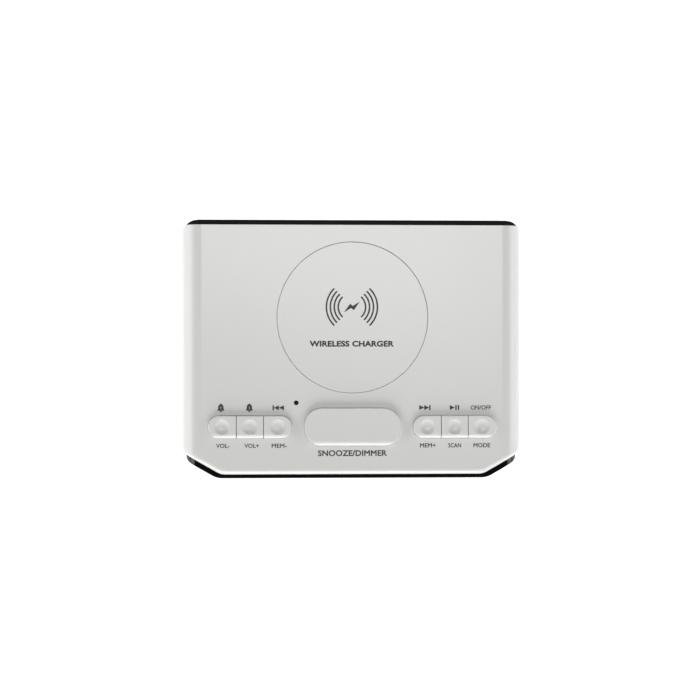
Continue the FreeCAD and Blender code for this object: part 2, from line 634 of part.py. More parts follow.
def switch_plunger(x):
    """The moving pin of one push switch."""
    foot_low = KEY_BOARD_TOP + 2.3
    foot = rod(PIN_RADIUS + 0.4, (x, KEY_ROW_Y, foot_low), 0.5)
    pin = rod(PIN_RADIUS, (x, KEY_ROW_Y, foot_low), STEM_BOTTOM - foot_low)
    return fused([foot, pin])


def tact_switches():
    """The fixed bodies of the seven push switches, each with a steel-edged top and a round hole."""
    half, top = SWITCH_SIDE / 2, KEY_BOARD_TOP + SWITCH_HEIGHT
    bodies = []
    for x in switch_places().values():
        block = box(x - half, x + half, KEY_ROW_Y - half, KEY_ROW_Y + half, KEY_BOARD_TOP, top)
        well = rod(PIN_RADIUS + 0.6, (x, KEY_ROW_Y, KEY_BOARD_TOP + 1.5), 1.7)
        hole = rod(PIN_RADIUS + FIT, (x, KEY_ROW_Y, KEY_BOARD_TOP + 1.5), 3.0)
        bodies.append(less(block, [well, hole]))
    return Part.makeCompound(bodies)


def key_board():
    """Board that carries the push switches, hung under the top face."""
    board = plate(-74.0, 74.0, -46.8, -22.0, 2.0, KEY_BOARD_TOP - BOARD_THICKNESS, KEY_BOARD_TOP)
    holes = [rod(1.1, (x, y, 40), 20.0) for x, y in key_board_screw_places()]
    return less(board, holes)


# ---------------------------------------------------------------- display

def front_baffle():
    """Inner plate behind the front panel that carries both speakers and the display."""
    plate_body = plate(-77.0, 77.0, 6.8, 49.4, 5.0, BAFFLE_FRONT, BAFFLE_FRONT + BAFFLE_THICKNESS, "y")
    tools = [
        rod(SPEAKER_CONE_RADIUS + 2.2, (side * SPEAKER_X, BAFFLE_FRONT - 1, SPEAKER_Z), 5.0, Y)
        for side in (-1, 1)
    ]
    tools.append(box(-34.2, 34.2, BAFFLE_FRONT - 1, BAFFLE_FRONT + 5, DIGIT_Z - 14.2, DIGIT_Z + 14.2))
    tools += [rod(0.85, (x, BAFFLE_FRONT - 1, z), 5.0, Y) for x, z in display_screw_places()]
    tools += [rod(0.85, (x, BAFFLE_FRONT - 1, z), 5.0, Y) for x, z in speaker_screw_places()]
    return less(plate_body, tools)


def display_screw_places():
    """Screws that hold the display board to the baffle."""
    return [(-30.0, 14.6), (30.0, 14.6)]


def display_board():
    """Upright board behind the digits."""
    back = BAFFLE_FRONT + BAFFLE_THICKNESS
    board = plate(-35.5, 35.5, 11.5, 49.0, 1.0, back, back + BOARD_THICKNESS, "y")
    return less(board, [rod(1.1, (x, back - 1, z), 5.0, Y) for x, z in display_screw_places()])


def digit_module():
    """Black block that houses the light segments."""
    face = SLEEVE_FRONT + 0.4
    block = box(-34.0, 34.0, face, BAFFLE_FRONT + BAFFLE_THICKNESS, DIGIT_Z - 14.0, DIGIT_Z + 14.0)
    return less(block, [s for s in segment_solids(0.05, face - 1, face + 5.0)])


def digit_centres():
    """X of the four digits, with room for the colon between the pairs."""
    inner, outer = 0.5 * DIGIT_PITCH + COLON_ROOM, 1.5 * DIGIT_PITCH + COLON_ROOM
    return [-outer, -inner, inner, outer]


def segment_solids(grow, y0, y1):
    """Seven light bars for each digit and the two round dots of the colon."""
    column = DIGIT_WIDTH / 2 - BAR_HALF_THICKNESS
    row = DIGIT_HEIGHT / 2 - BAR_HALF_THICKNESS
    gap = 0.5
    bars = []
    for centre in digit_centres():
        for z in (-row, 0, row):
            bars.append(light_bar(centre, DIGIT_Z + z, column - gap, True, grow, y0, y1))
        for sx in (-1, 1):
            for sz in (-1, 1):
                x, z = centre + sx * column, DIGIT_Z + sz * row / 2
                bars.append(light_bar(x, z, row / 2 - gap, False, grow, y0, y1))
    for z in (-4.2, 4.2):
        bars.append(rod(1.25 + grow, (0, y0, DIGIT_Z + z), y1 - y0, Y))
    return bars


def light_bar(x, z, half_length, across, grow, y0, y1):
    """One bar with pointed ends, lying across or standing up."""
    long, short = half_length + grow, BAR_HALF_THICKNESS + grow
    outline = [(-long, 0), (-long + short, -short), (long - short, -short), (long, 0), (long - short, short),
               (-long + short, short)]
    points = [V(x + u, y0, z + v) if across else V(x + v, y0, z + u) for u, v in outline]
    solid = Part.Face(Part.makePolygon(points + [points[0]])).extrude(Y * (y1 - y0))
    return solid


def digit_segments():
    """The milky light segments in the face of the digit block."""
    face = SLEEVE_FRONT + 0.4
    return Part.makeCompound(segment_solids(0, face, face + 4.9))


# ---------------------------------------------------------------- speakers

def speaker_screw_places():
    """Four screws at the corners of each speaker flange."""
    reach = SPEAKER_FLANGE / 2 - 3.2
    return [
        (side * SPEAKER_X + sx * reach, SPEAKER_Z + sz * reach)
        for side in (-1, 1) for sx in (-1, 1) for sz in (-1, 1)
    ]


def speaker(side):
    """The pieces of one full-range driver, firing forwards: basket, magnet, cone and surround."""
    x = side * SPEAKER_X
    face = BAFFLE_FRONT + BAFFLE_THICKNESS
    half = SPEAKER_FLANGE / 2
    flange = plate(x - half, x + half, SPEAKER_Z - half, SPEAKER_Z + half, 3.0, face, face + 1.2, "y")
    start = (x, face, SPEAKER_Z)
    bowl_profile = [
        (18.0, 1.0), (18.6, 1.0), (13.6, 10.0), (13.6, 11.0),
        (5.0, 11.0), (5.0, 10.2), (12.8, 10.2), (17.4, 1.0),
    ]
    bowl = turned(bowl_profile, start, Y)
    rim_hole = rod(17.6, (x, face - 1, SPEAKER_Z), 3.0, Y)
    windows = []
    for turn in range(4):
        window = box(-4.5, 4.5, face + 2.5, face + 9.6, 10.0, 25.0)
        window.rotate(V(0, 0, 0), Y, 45 + 90 * turn)
        window.translate(V(x, 0, SPEAKER_Z))
        windows.append(window)
    holes = [rod(1.2, (sx, face - 1, sz), 4.0, Y) for sx, sz in speaker_screw_places()]
    basket = less(fused([flange.cut(rim_hole), bowl]), [*windows, *holes])
    magnet_profile = [
        (4.6, 11.0), (14.0, 11.0), (14.0, 18.6), (15.0, 18.6), (15.0, SPEAKER_DEPTH),
        (0, SPEAKER_DEPTH), (0, 10.0), (3.6, 10.0), (3.6, 17.6), (4.6, 17.6),
    ]
    magnet = turned(magnet_profile, start, Y)
    cone_profile = [
        (SPEAKER_CONE_RADIUS, 0.4), (SPEAKER_CONE_RADIUS, 0.9), (5.6, 7.3), (4.3, 7.3), (4.3, 12.0),
        (3.9, 12.0), (3.9, 6.3), (0, 4.6), (0, 4.0), (2.6, 4.3), (5.4, 6.2),
    ]
    cone = turned(cone_profile, start, Y)
    surround = surround_ring(start)
    return {"basket": basket, "magnet": magnet, "cone": cone, "surround": surround}


def surround_ring(start):
    """Rubber half roll between the cone's edge and the basket's rim."""
    inner, outer = SPEAKER_CONE_RADIUS, 17.6
    middle, reach = (inner + outer) / 2, (outer - inner) / 2
    thick = 0.35
    low, high = V(inner, 0, 0.4), V(outer, 0, 0.4)
    crest = V(middle, 0, 0.4 - reach)
    low_in, high_in = V(inner + thick, 0, 0.4), V(outer - thick, 0, 0.4)
    crest_in = V(middle, 0, 0.4 - reach + thick)
    edges = [
        Part.Arc(low, crest, high).toShape(),
        Part.LineSegment(high, high_in).toShape(),
        Part.Arc(high_in, crest_in, low_in).toShape(),
        Part.LineSegment(low_in, low).toShape(),
    ]
    ring = Part.Face(Part.Wire(edges)).revolve(V(0, 0, 0), Z, 360)
    if ring.Volume < 0:
        ring.reverse()
    ring.Placement = FreeCAD.Placement(V(*start), FreeCAD.Rotation(Z, Y))
    return ring


# ---------------------------------------------------------------- electronics

def board_screw_places():
    """Screws that hold the main board to the tray."""
    return [(sx * 60.5, y) for sx in (-1, 1) for y in (-1.0, 46.0)]


def main_board():
    """Main board on the tray's bosses, with its rear edge under the sockets."""
    board = plate(-64.5, 64.5, -6.0, 56.0, 2.0, BOARD_Z, BOARD_Z + BOARD_THICKNESS)
    return less(board, [rod(1.2, (x, y, BOARD_Z - 1), 5.0) for x, y in board_screw_places()])


def main_chips():
    """Processor, amplifier, tuner and charger control packages on the main board."""
    top = BOARD_Z + BOARD_THICKNESS
    sizes = [
        (-12, 18, 10, 10, 1.4), (24, 4, 9, 7, 1.6), (-34, 2, 8, 6, 1.5),
        (44, 24, 6, 5, 1.2), (14, 30, 5, 4, 1.1),
    ]
    chips = []
    for x, y, wide, deep, high in sizes:
        chips.append(plate(x - wide / 2, x + wide / 2, y - deep / 2, y + deep / 2, 0.3, top, top + high))
    return Part.makeCompound(chips)


def capacitors():
    """Upright electrolytic capacitors on the main board."""
    top = BOARD_Z + BOARD_THICKNESS
    places = [
        (-57, 22, 4.0, 11.0), (-57, 33, 4.0, 11.0), (40, 8, 3.2, 9.0), (50, 10, 3.2, 9.0),
        (-22, 36, 2.5, 7.0),
    ]
    cans = []
    for x, y, radius, height in places:
        can = rod(radius, (x, y, top), height)
        cans.append(soften(can, 0.4, lambda e, z=top + height: near_plane(e, "z", z)))
    return Part.makeCompound(cans)


def radio_module():
    """Small radio module: a daughter board with a shielding can."""
    top = BOARD_Z + BOARD_THICKNESS
    carrier = plate(2.0, 20.0, 12.0, 25.0, 0.5, top, top + 0.8)
    can = plate(3.0, 15.0, 13.0, 24.0, 0.6, top + 0.8, top + 2.8)
    return fused([carrier, can])


def dc_jack():
    """Power inlet: a moulded block with a round socket."""
    top = BOARD_Z + BOARD_THICKNESS
    block = box(DC_X - 4.6, DC_X + 4.6, 46.4, SLEEVE_REAR - 4.2, top, JACK_Z + 4.6)
    nose = rod(4.2, (DC_X, SLEEVE_REAR - 5, JACK_Z), 6.2, Y)
    socket = rod(3.2, (DC_X, SLEEVE_REAR - 9, JACK_Z), 12.0, Y)
    return less(fused([block, nose]), [socket])


def dc_jack_pin():
    """Centre pin of the power inlet."""
    pin = rod(1.05, (DC_X, SLEEVE_REAR - 9, JACK_Z), 8.6, Y)
    return soften(pin, 0.35, lambda e: near_plane(e, "y", SLEEVE_REAR - 0.4))


def charge_socket_shell():
    """Folded steel shell of the charging socket."""
    top = BOARD_Z + BOARD_THICKNESS
    y0, y1 = 47.0, REAR - 0.6
    outer = box(CHARGE_X - 6.6, CHARGE_X + 6.6, y0, y1, JACK_Z - 2.85, JACK_Z + 2.85)
    inner = box(CHARGE_X - 6.25, CHARGE_X + 6.25, y0 + 2.0, y1 + 1, JACK_Z - 2.5, JACK_Z + 2.5)
    legs = []
    for side in (-1, 1):
        x = CHARGE_X + side * 6.4
        legs.append(box(x - 0.2, x + 0.2, 50.0, 53.0, top, JACK_Z))
    return less(fused([outer, *legs]), [inner])


def charge_socket_tongue():
    """Plastic contact tongue inside the charging socket."""
    back = box(CHARGE_X - 6.25, CHARGE_X + 6.25, 49.0, 50.5, JACK_Z - 2.5, JACK_Z + 2.5)
    tongue = box(CHARGE_X - 5.7, CHARGE_X + 5.7, 50.0, REAR - 2.6, JACK_Z + 0.2, JACK_Z + 2.0)
    return fused([back, tongue])


def aux_jack():
    """Audio input: a moulded block with a round nose and a 3.5 mm bore."""
    top = BOARD_Z + BOARD_THICKNESS
    block = box(AUX_X - 3.4, AUX_X + 3.4, 47.4, SLEEVE_REAR - 4.2, top, JACK_Z + 3.4)
    nose = rod(3.2, (AUX_X, SLEEVE_REAR - 5, JACK_Z), 6.4, Y)
    bore = rod(AUX_BORE_RADIUS, (AUX_X, SLEEVE_REAR + 1.4 - AUX_BORE_LENGTH, JACK_Z), AUX_BORE_LENGTH + 1, Y)
    return less(fused([block, nose]), [bore])


def antenna_gland():
    """Rubber bush that the aerial wire leaves through."""
    bush = rod(2.5, (52.0, SLEEVE_REAR - 1.6, JACK_Z), REAR_PROUD + 1.6, Y)
    inner_flange = rod(3.8, (52.0, SLEEVE_REAR - 1.6, JACK_Z), 1.5, Y)
    return less(fused([bush, inner_flange]), [rod(0.8, (52.0, SLEEVE_REAR - 5, JACK_Z), 12.0, Y)])


def charger_parts():
    """Charging coil, ferrite sheet, carrier tray and drive board under the pad."""
    coil_top = CEILING - 0.1
    coil = rod(COIL_RADIUS, (0, PAD_Y, coil_top - 1.5), 1.5).cut(rod(10.0, (0, PAD_Y, coil_top - 2), 3.0))
    ferrite = plate(-26.5, 26.5, PAD_Y - 26.5, PAD_Y + 26.5, 2.0, coil_top - 2.4, coil_top - 1.5)
    tray_top = coil_top - 2.4
    tray = plate(-34.0, 34.0, PAD_Y - 26.8, PAD_Y + 26.8, 3.0, tray_top - 1.6, tray_top)
    pegs = [rod(2.2, (sx * 24.0, PAD_Y + sy * 15.0, tray_top - 5.2), 4.0) for sx in (-1, 1) for sy in (-1, 1)]
    tray_holes = [rod(1.1, (x, y, 40), 20.0) for x, y in tray_screw_places()]
    tray = less(fused([tray, *pegs]), tray_holes)
    board_top = tray_top - 5.2
    board = plate(-28.0, 28.0, PAD_Y - 18.5, PAD_Y + 18.5, 1.0, board_top - BOARD_THICKNESS, board_top)
    below = board_top - BOARD_THICKNESS
    chips = [
        plate(x - w / 2, x + w / 2, PAD_Y + y - d / 2, PAD_Y + y + d / 2, 0.3, below - h, below)
        for x, y, w, d, h in ((-10, 4, 7, 7, 1.0), (8, -6, 6, 5, 1.4), (14, 8, 8, 8, 3.0))
    ]
    return {"charger_coil": coil, "ferrite_sheet": ferrite, "coil_tray": tray, "charger_board": board,
            "chips": Part.makeCompound(chips)}


def microphone():
    """Electret capsule under the microphone hole."""
    return rod(3.0, (MIC_X, MIC_Y, CEILING - 2.7), 2.6)


def coin_cell():
    """Back-up cell: a stepped steel disc."""
    base = FLOOR + 1.4
    return fused([rod(10.0, (CAP_X, CAP_Y, base + 0.8), 2.4), rod(8.6, (CAP_X, CAP_Y, base), 1.0)])


def cell_contact():
    """Spring contact between the cell and the main board."""
    leaf = box(CAP_X - 2.5, CAP_X + 2.5, CAP_Y - 7.0, CAP_Y + 6.0, FLOOR + 4.65, FLOOR + 4.95)
    heel = box(CAP_X - 2.5, CAP_X + 2.5, CAP_Y + 5.0, CAP_Y + 6.0, FLOOR + 4.65, BOARD_Z)
    return fused([leaf, heel])


# ---------------------------------------------------------------- cables and fasteners

def ribbon(points, width, across):
    """Flat cable of constant width along a path of straight runs in an upright plane."""
    thick = 0.5
    runs = []
    for a, b in zip(points[:-1], points[1:]):
        y0, y1 = sorted((a[0], b[0]))
        z0, z1 = sorted((a[1], b[1]))
        runs.append(box(across - width / 2, across + width / 2, y0, y1 + thick, z0, z1 + thick))
    return fused(runs)


def flat_cables():
    """Flat cables from the key board and from the display board to the main board."""
    board_top = BOARD_Z + BOARD_THICKNESS
    high = KEY_BOARD_TOP - BOARD_THICKNESS - 3.5
    key_path = [(-24.0, high), (-8.5, high), (-8.5, board_top + 3.0), (-2.0, board_top + 3.0)]
    from_keys = ribbon(key_path, 16.0, 0.0)
    back = BAFFLE_FRONT + BAFFLE_THICKNESS + BOARD_THICKNESS
    display_path = [(back + 5.0, 22.0), (-20.0, 22.0), (-20.0, board_top + 2.5), (-5.5, board_top + 2.5)]
    from_display = ribbon(display_path, 14.0, 20.0)
    return Part.makeCompound([from_keys, from_display])


def cable_plugs():
    """White plugs at both ends of the two flat cables."""
    board_top = BOARD_Z + BOARD_THICKNESS
    under = KEY_BOARD_TOP - BOARD_THICKNESS
    back = BAFFLE_FRONT + BAFFLE_THICKNESS + BOARD_THICKNESS
    return Part.makeCompound([
        box(-9.0, 9.0, -28.5, -24.0, under - 5.0, under),
        box(-9.0, 9.0, -1.5, 3.0, board_top, board_top + 5.0),
        box(12.0, 28.0, back, back + 5.0, 20.0, 24.5),
        box(12.0, 28.0, -5.0, -0.5, board_top, board_top + 5.0),
    ])


def screw(start, axis, length, radius, head_radius, head_height):
    """Pan-head screw: the head starts at start and the shank runs on along the axis."""
    head = Part.makeCylinder(head_radius, head_height, V(*start), axis)
    shank = Part.makeCylinder(radius, length, V(*start) + axis * (head_height - 0.01), axis)
    slot = Part.makeBox(head_radius * 1.3, 0.5, 0.5, V(-head_radius * 0.65, -0.25, -0.01))
    cross = slot.fuse(Part.makeBox(0.5, head_radius * 1.3, 0.5, V(-0.25, -head_radius * 0.65, -0.01)))
    cross.Placement = FreeCAD.Placement(V(*start), FreeCAD.Rotation(Z, axis))
    return fused([head, shank]).cut(cross)


def screws():
    """Every group of fasteners, by node name."""
    up, down, forward = Z, Z * -1, Y * -1
    board_top = BOARD_Z + BOARD_THICKNESS
    key_low = KEY_BOARD_TOP - BOARD_THICKNESS
    tray_low = CEILING - 0.1 - 2.4 - 1.6
    display_back = BAFFLE_FRONT + BAFFLE_THICKNESS + BOARD_THICKNESS
    flange_back = BAFFLE_FRONT + BAFFLE_THICKNESS + 1.2
    boards = [screw((x, y, board_top + 1.3), down, 5.0, 0.8, 2.0, 1.3) for x, y in board_screw_places()]
    boards += [screw((x, y, key_low - 1.2), up, 5.0, 0.8, 1.9, 1.2) for x, y in key_board_screw_places()]
    boards += [screw((x, y, tray_low - 1.1), up, 3.6, 0.8, 1.9, 1.1) for x, y in tray_screw_places()]
    back = flange_back + 1.1
    front = [screw((x, back, z), forward, 3.0, 0.8, 1.8, 1.1) for x, z in speaker_screw_places()]
    back = display_back + 1.1
    front += [screw((x, back, z), forward, 3.3, 0.8, 1.8, 1.1) for x, z in display_screw_places()]
    case = [screw((x, y, HEAD_SEAT - 1.8), up, 16.0, 1.1, 2.7, 1.8) for x, y in case_screw_places()]
    rear = [screw((x, REAR - 0.1, z), forward, 9.0, 1.1, 2.4, 1.1) for x, z in rear_screw_places()]
    return {
        "case_screws": case,
        "rear_screws": rear,
        "board_screws": boards,
        "speaker_screws": front,
    }


# ---------------------------------------------------------------- the whole part

def build():
    """Makes every sub-part and writes its file."""
    os.makedirs("parts", exist_ok=True)
    for old in os.listdir("parts"):
        os.remove(os.path.join("parts", old))
    tube = sleeve_tube()
    save("upper_case", upper_case(tube))
    save("lower_case", lower_case(tube))
    save("front_bezel", front_bezel())
    save("display_lens", display_lens())
    save("rear_cover", rear_cover())
    save("charging_pad", charging_pad())
    save("battery_cap", battery_cap())
    save("rubber_feet", rubber_feet())
    save("snooze_bar", snooze_bar())
    for side, names in KEY_NAMES.items():
        for index, name in enumerate(names):
            save(f"{name}_key", key(side, index))
    for name, x in switch_places().items():
        save(f"{name}_plunger", switch_plunger(x))
    save("tact_switches", tact_switches())
    save("key_board", key_board())
    save("front_baffle", front_baffle())
    save("display_board", display_board())
    save("digit_module", digit_module())
    save("digit_segments", digit_segments())
    for side, word in ((-1, "left"), (1, "right")):
        for piece, shape in speaker(side).items():
            save(f"{word}_speaker_{piece}", shape)
    save("main_board", main_board())
    charger = charger_parts()
    chips = main_chips()
    save("chips", Part.makeCompound([*chips.Solids, *charger.pop("chips").Solids]))
    save("capacitors", capacitors())
    save("radio_module", radio_module())
    save("dc_jack", dc_jack())
    save("dc_jack_pin", dc_jack_pin())
    save("charge_socket_shell", charge_socket_shell())
    save("charge_socket_tongue", charge_socket_tongue())
    save("aux_jack", aux_jack())
    save("antenna_gland", antenna_gland())
    for node, shape in charger.items():
        save(node, shape)
    save("microphone", microphone())
    save("coin_cell", coin_cell())
    save("cell_contact", cell_contact())
    save("flat_cables", flat_cables())
    save("cable_plugs", cable_plugs())
    for node, group in screws().items():
        save(node, Part.makeCompound(group))


build()
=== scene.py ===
"""Looks of a bedside clock radio with a charging top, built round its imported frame.

The frame gives every moulded and moving part at its place. This script dresses those parts in procedural
finishes and adds what is printed, lit, woven, wound or soldered: the legends and pictograms, the lit digits,
the cloth behind the sound slots, the windings of the coil, and a blank label. Lengths are in metres, and MM
turns millimetres into them.
"""

import logging
import math
from dataclasses import dataclass, field
from enum import Enum
from typing import Optional, Sequence

import bmesh
import bpy
import numpy as np
from mathutils import Matrix, Vector


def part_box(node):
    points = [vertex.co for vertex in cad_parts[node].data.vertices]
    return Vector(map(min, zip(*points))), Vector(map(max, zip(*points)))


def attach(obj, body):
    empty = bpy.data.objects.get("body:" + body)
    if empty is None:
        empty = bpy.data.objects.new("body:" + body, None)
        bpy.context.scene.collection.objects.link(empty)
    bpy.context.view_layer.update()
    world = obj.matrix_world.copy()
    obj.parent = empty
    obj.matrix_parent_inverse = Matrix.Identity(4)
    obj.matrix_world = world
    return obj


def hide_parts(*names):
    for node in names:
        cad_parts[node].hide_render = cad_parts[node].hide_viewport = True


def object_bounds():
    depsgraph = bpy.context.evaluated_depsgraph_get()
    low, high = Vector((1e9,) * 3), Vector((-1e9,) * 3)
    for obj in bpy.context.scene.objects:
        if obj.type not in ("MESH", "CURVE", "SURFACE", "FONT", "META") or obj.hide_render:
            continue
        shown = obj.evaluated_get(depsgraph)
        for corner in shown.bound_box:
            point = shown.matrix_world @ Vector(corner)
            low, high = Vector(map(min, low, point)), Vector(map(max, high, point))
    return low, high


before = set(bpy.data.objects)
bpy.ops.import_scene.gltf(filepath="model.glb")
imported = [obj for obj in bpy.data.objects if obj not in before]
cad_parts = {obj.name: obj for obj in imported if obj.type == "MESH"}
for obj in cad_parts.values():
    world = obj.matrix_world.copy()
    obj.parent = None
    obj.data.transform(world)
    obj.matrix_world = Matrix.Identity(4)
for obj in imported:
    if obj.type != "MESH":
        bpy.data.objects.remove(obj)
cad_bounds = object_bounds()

log = logging.getLogger("clock_radio")

MM = 0.001
BODY = "case"

Array = np.ndarray
Colour = tuple[float, float, float]
Socket = bpy.types.NodeSocket
Piece = bpy.types.Object


# ------------------------------------------------------------------ meshes from arrays


def mesh_piece(name: str, points: Array, faces: Sequence[Array], smooth: bool = False) -> Piece:
    """Makes an object at the origin from whole arrays.

    Args:
        name: The piece's name.
        points: Corner places, n by 3, in metres.
        faces: Blocks of faces, each m by k corner numbers.
        smooth: Whether the faces are shaded as one curved surface.

    Returns:
        The new object, linked to the scene.
    """
    mesh = bpy.data.meshes.new(name)
    mesh.from_pydata(points.tolist(), [], [face for block in faces for face in block.tolist()])
    mesh.polygons.foreach_set("use_smooth", np.full(len(mesh.polygons), smooth))
    mesh.update()
    piece = bpy.data.objects.new(name, mesh)
    bpy.context.scene.collection.objects.link(piece)
    return piece


def grid_faces(rows: int, columns: int, closed_rows: bool = False, closed_columns: bool = False) -> Array:
    """Quads of a grid of points numbered row by row: (i, j), (i+1, j), (i+1, j+1), (i, j+1).

    Args:
        rows: Number of rows of points.
        columns: Number of points in a row.
        closed_rows: Whether the last row joins the first.
        closed_columns: Whether the last point of a row joins the row's first.

    Returns:
        The quads, m by 4.
    """
    i = np.arange(rows if closed_rows else rows - 1)[:, None]
    j = np.arange(columns if closed_columns else columns - 1)[None, :]
    next_i, next_j = (i + 1) % rows, (j + 1) % columns
    corners = [i * columns + j, next_i * columns + j, next_i * columns + next_j, i * columns + next_j]
    return np.stack(np.broadcast_arrays(*corners), axis=-1).reshape(-1, 4)


def prisms(outlines: Sequence[Array], low: float, high: float) -> tuple[Array, list[Array]]:
    """Upright solids from flat outlines wound anticlockwise.

    Each outline's points (u, v) are repeated at height low and at height high. The wall is the quads between
    the two loops, and each loop is closed by one face of its own.

    Args:
        outlines: Closed outlines, each n by 2.
        low: Height of the lower ends.
        high: Height of the upper ends.

    Returns:
        The points and the blocks of faces.
    """
    points, faces, base = [], [], 0
    for outline in outlines:
        count = len(outline)
        for height in (low, high):
            points.append(np.column_stack([outline, np.full(count, height)]))
        faces.append(base + grid_faces(2, count, closed_columns=True)[:, ::-1])
        loop = np.arange(count)
        faces += [(base + loop[::-1])[None, :], (base + count + loop)[None, :]]
        base += 2 * count
    return np.concatenate(points), faces


def slab(surface: Array, thickness: float) -> tuple[Array, list[Array]]:
    """Closed sheet of even thickness about a surface given on a grid.

    The surface's normal at each point is the cross product of its two grid directions. The two skins are the
    surface moved by half the thickness along and against that normal, and quads close the rim.

    Args:
        surface: Points, rows by columns by 3.
        thickness: Distance between the skins.

    Returns:
        The points and the blocks of faces.
    """
    rows, columns = surface.shape[:2]
    normal = np.cross(np.gradient(surface, axis=0), np.gradient(surface, axis=1))
    normal /= np.linalg.norm(normal, axis=-1, keepdims=True)
    skins = [(surface + normal * side * thickness / 2).reshape(-1, 3) for side in (1, -1)]
    front = grid_faces(rows, columns)
    count = rows * columns
    number = np.arange(count).reshape(rows, columns)
    rim = np.concatenate([number[:, 0], number[-1, 1:], number[-2::-1, -1], number[0, -2:0:-1]])
    following = np.roll(rim, -1)
    edge = np.stack([rim, rim + count, following + count, following], axis=-1)
    return np.concatenate(skins), [front, front[:, ::-1] + count, edge]


def turned(profile: Array, steps: int) -> tuple[Array, list[Array]]:
    """Ring turned about the upright axis from a closed profile of (radius, height) points.

    A point at turn t stands at (radius cos t, radius sin t, height).

    Args:
        profile: Closed profile, n by 2, wound anticlockwise with the radius to the right.
        steps: Number of copies of the profile round the ring.

    Returns:
        The points and the blocks of faces.
    """
    turn = np.linspace(0, 2 * np.pi, steps, endpoint=False)[:, None]
    radius, height = profile[:, 0][None, :], profile[:, 1][None, :]
    points = np.stack(np.broadcast_arrays(radius * np.cos(turn), radius * np.sin(turn), height), axis=-1)
    return points.reshape(-1, 3), [grid_faces(steps, len(profile), True, True)]


def boxes(centres: Array, sizes: Array) -> tuple[Array, list[Array]]:
    """Many small boxes as one mesh: each is its centre plus half its size times the eight sign corners.

    Args:
        centres: Middles, n by 3.
        sizes: Side lengths, n by 3.

    Returns:
        The points and the blocks of faces.
    """
    signs = np.array([[x, y, z] for z in (-1, 1) for y in (-1, 1) for x in (-1, 1)])
    sides = np.array([[0, 2, 3, 1], [4, 5, 7, 6], [0, 1, 5, 4], [2, 6, 7, 3], [0, 4, 6, 2], [1, 3, 7, 5]])
    points = centres[:, None, :] + signs[None, :, :] * sizes[:, None, :] / 2
    faces = sides[None, :, :] + 8 * np.arange(len(centres))[:, None, None]
    return points.reshape(-1, 3), [faces.reshape(-1, 4)]


# ------------------------------------------------------------------ outlines


def arc_points(centre: tuple[float, float], radius: float, start: float, end: float, count: int) -> Array:
    """Points on a circle from one angle to another, in degrees: centre + radius (cos, sin)."""
    angle = np.radians(np.linspace(start, end, count))
    return np.column_stack([centre[0] + radius * np.cos(angle), centre[1] + radius * np.sin(angle)])


def round_box(width: float, height: float, radius: float, centre: tuple[float, float] = (0.0, 0.0)) -> Array:
    """Rectangle with rounded corners: a quarter circle about each inset corner, joined by straight sides."""
    u, v = width / 2 - radius, height / 2 - radius
    quarters = [(u, v, 0), (-u, v, 90), (-u, -v, 180), (u, -v, 270)]
    arcs = [arc_points((centre[0] + x, centre[1] + y), radius, a, a + 90, 7) for x, y, a in quarters]
    return np.concatenate(arcs)


def stroke_arc(radius: float, stroke: float, start: float, end: float) -> Array:
    """A curved stroke with round ends: outer arc out, half a circle, inner arc back, half a circle."""
    half, origin = stroke / 2, (0.0, 0.0)
    tail, tip = (tuple(radius * np.array([np.cos(a), np.sin(a)])) for a in np.radians([start, end]))
    return np.concatenate([
        arc_points(origin, radius + half, start, end, 22),
        arc_points(tip, half, end, end + 180, 6)[1:-1],
        arc_points(origin, radius - half, end, start, 22),
        arc_points(tail, half, start + 180, start + 360, 6)[1:-1],
    ])


def bell_outline(width: float, height: float) -> Array:
    """A bell: a domed body that flares out to its lip.

    With t running from 0 at the crown to 1 at the lip, the half width is 0.72 of a quarter ellipse that is
    full at t = 0.42, plus a flare of 0.28 t to the power 5.
    """
    t = np.linspace(0, 1, 17)
    body = 0.72 * np.sqrt(1 - (1 - np.minimum(t / 0.42, 1)) ** 2)
    half = width / 2 * (body + 0.28 * t**5)
    down = np.column_stack([half, height / 2 - t * height])
    up = down[:0:-1] * [-1, 1]
    return np.concatenate([down, up])[::-1]


def upright_bar(x: float, width: float, height: float) -> Array:
    """A plain upright stroke."""
    return np.array([[-width, -height], [width, -height], [width, height], [-width, height]]) / 2 + [x, 0]


def arrow_head(base: float, tip: float, height: float) -> Array:
    """A triangle with an upright base at one place and its tip at another, wound anticlockwise."""
    corners = np.array([[base, -height / 2], [tip, 0.0], [base, height / 2]])
    return corners if tip > base else corners[::-1]


# ------------------------------------------------------------------ places and lettering


class Facing(Enum):
    """The flat sides of the case that carry print, as their right and up directions."""

    TOP = ((1, 0, 0), (0, 1, 0))
    FRONT = ((1, 0, 0), (0, 0, 1))
    REAR = ((-1, 0, 0), (0, 0, 1))
    UNDERSIDE = ((1, 0, 0), (0, -1, 0))


@dataclass(frozen=True)
class Spot:
    """A place on a flat side of the case, for something drawn in that side's own plane.

    Attributes:
        side: The side it lies on.
        place: Its middle, in metres.
    """

    side: Facing
    place: tuple[float, float, float]

    def matrix(self) -> Matrix:
        """The turn and shift from the drawing's plane to the side: columns right, up, outward and place."""
        right, up = (Vector(direction) for direction in self.side.value)
        turn = Matrix((right, up, right.cross(up))).transposed()
        return Matrix.Translation(self.place) @ turn.to_4x4()


def middle_of(node: str) -> Vector:
    """Middle of the box of one of the frame's parts."""
    low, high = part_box(node)
    return (low + high) / 2


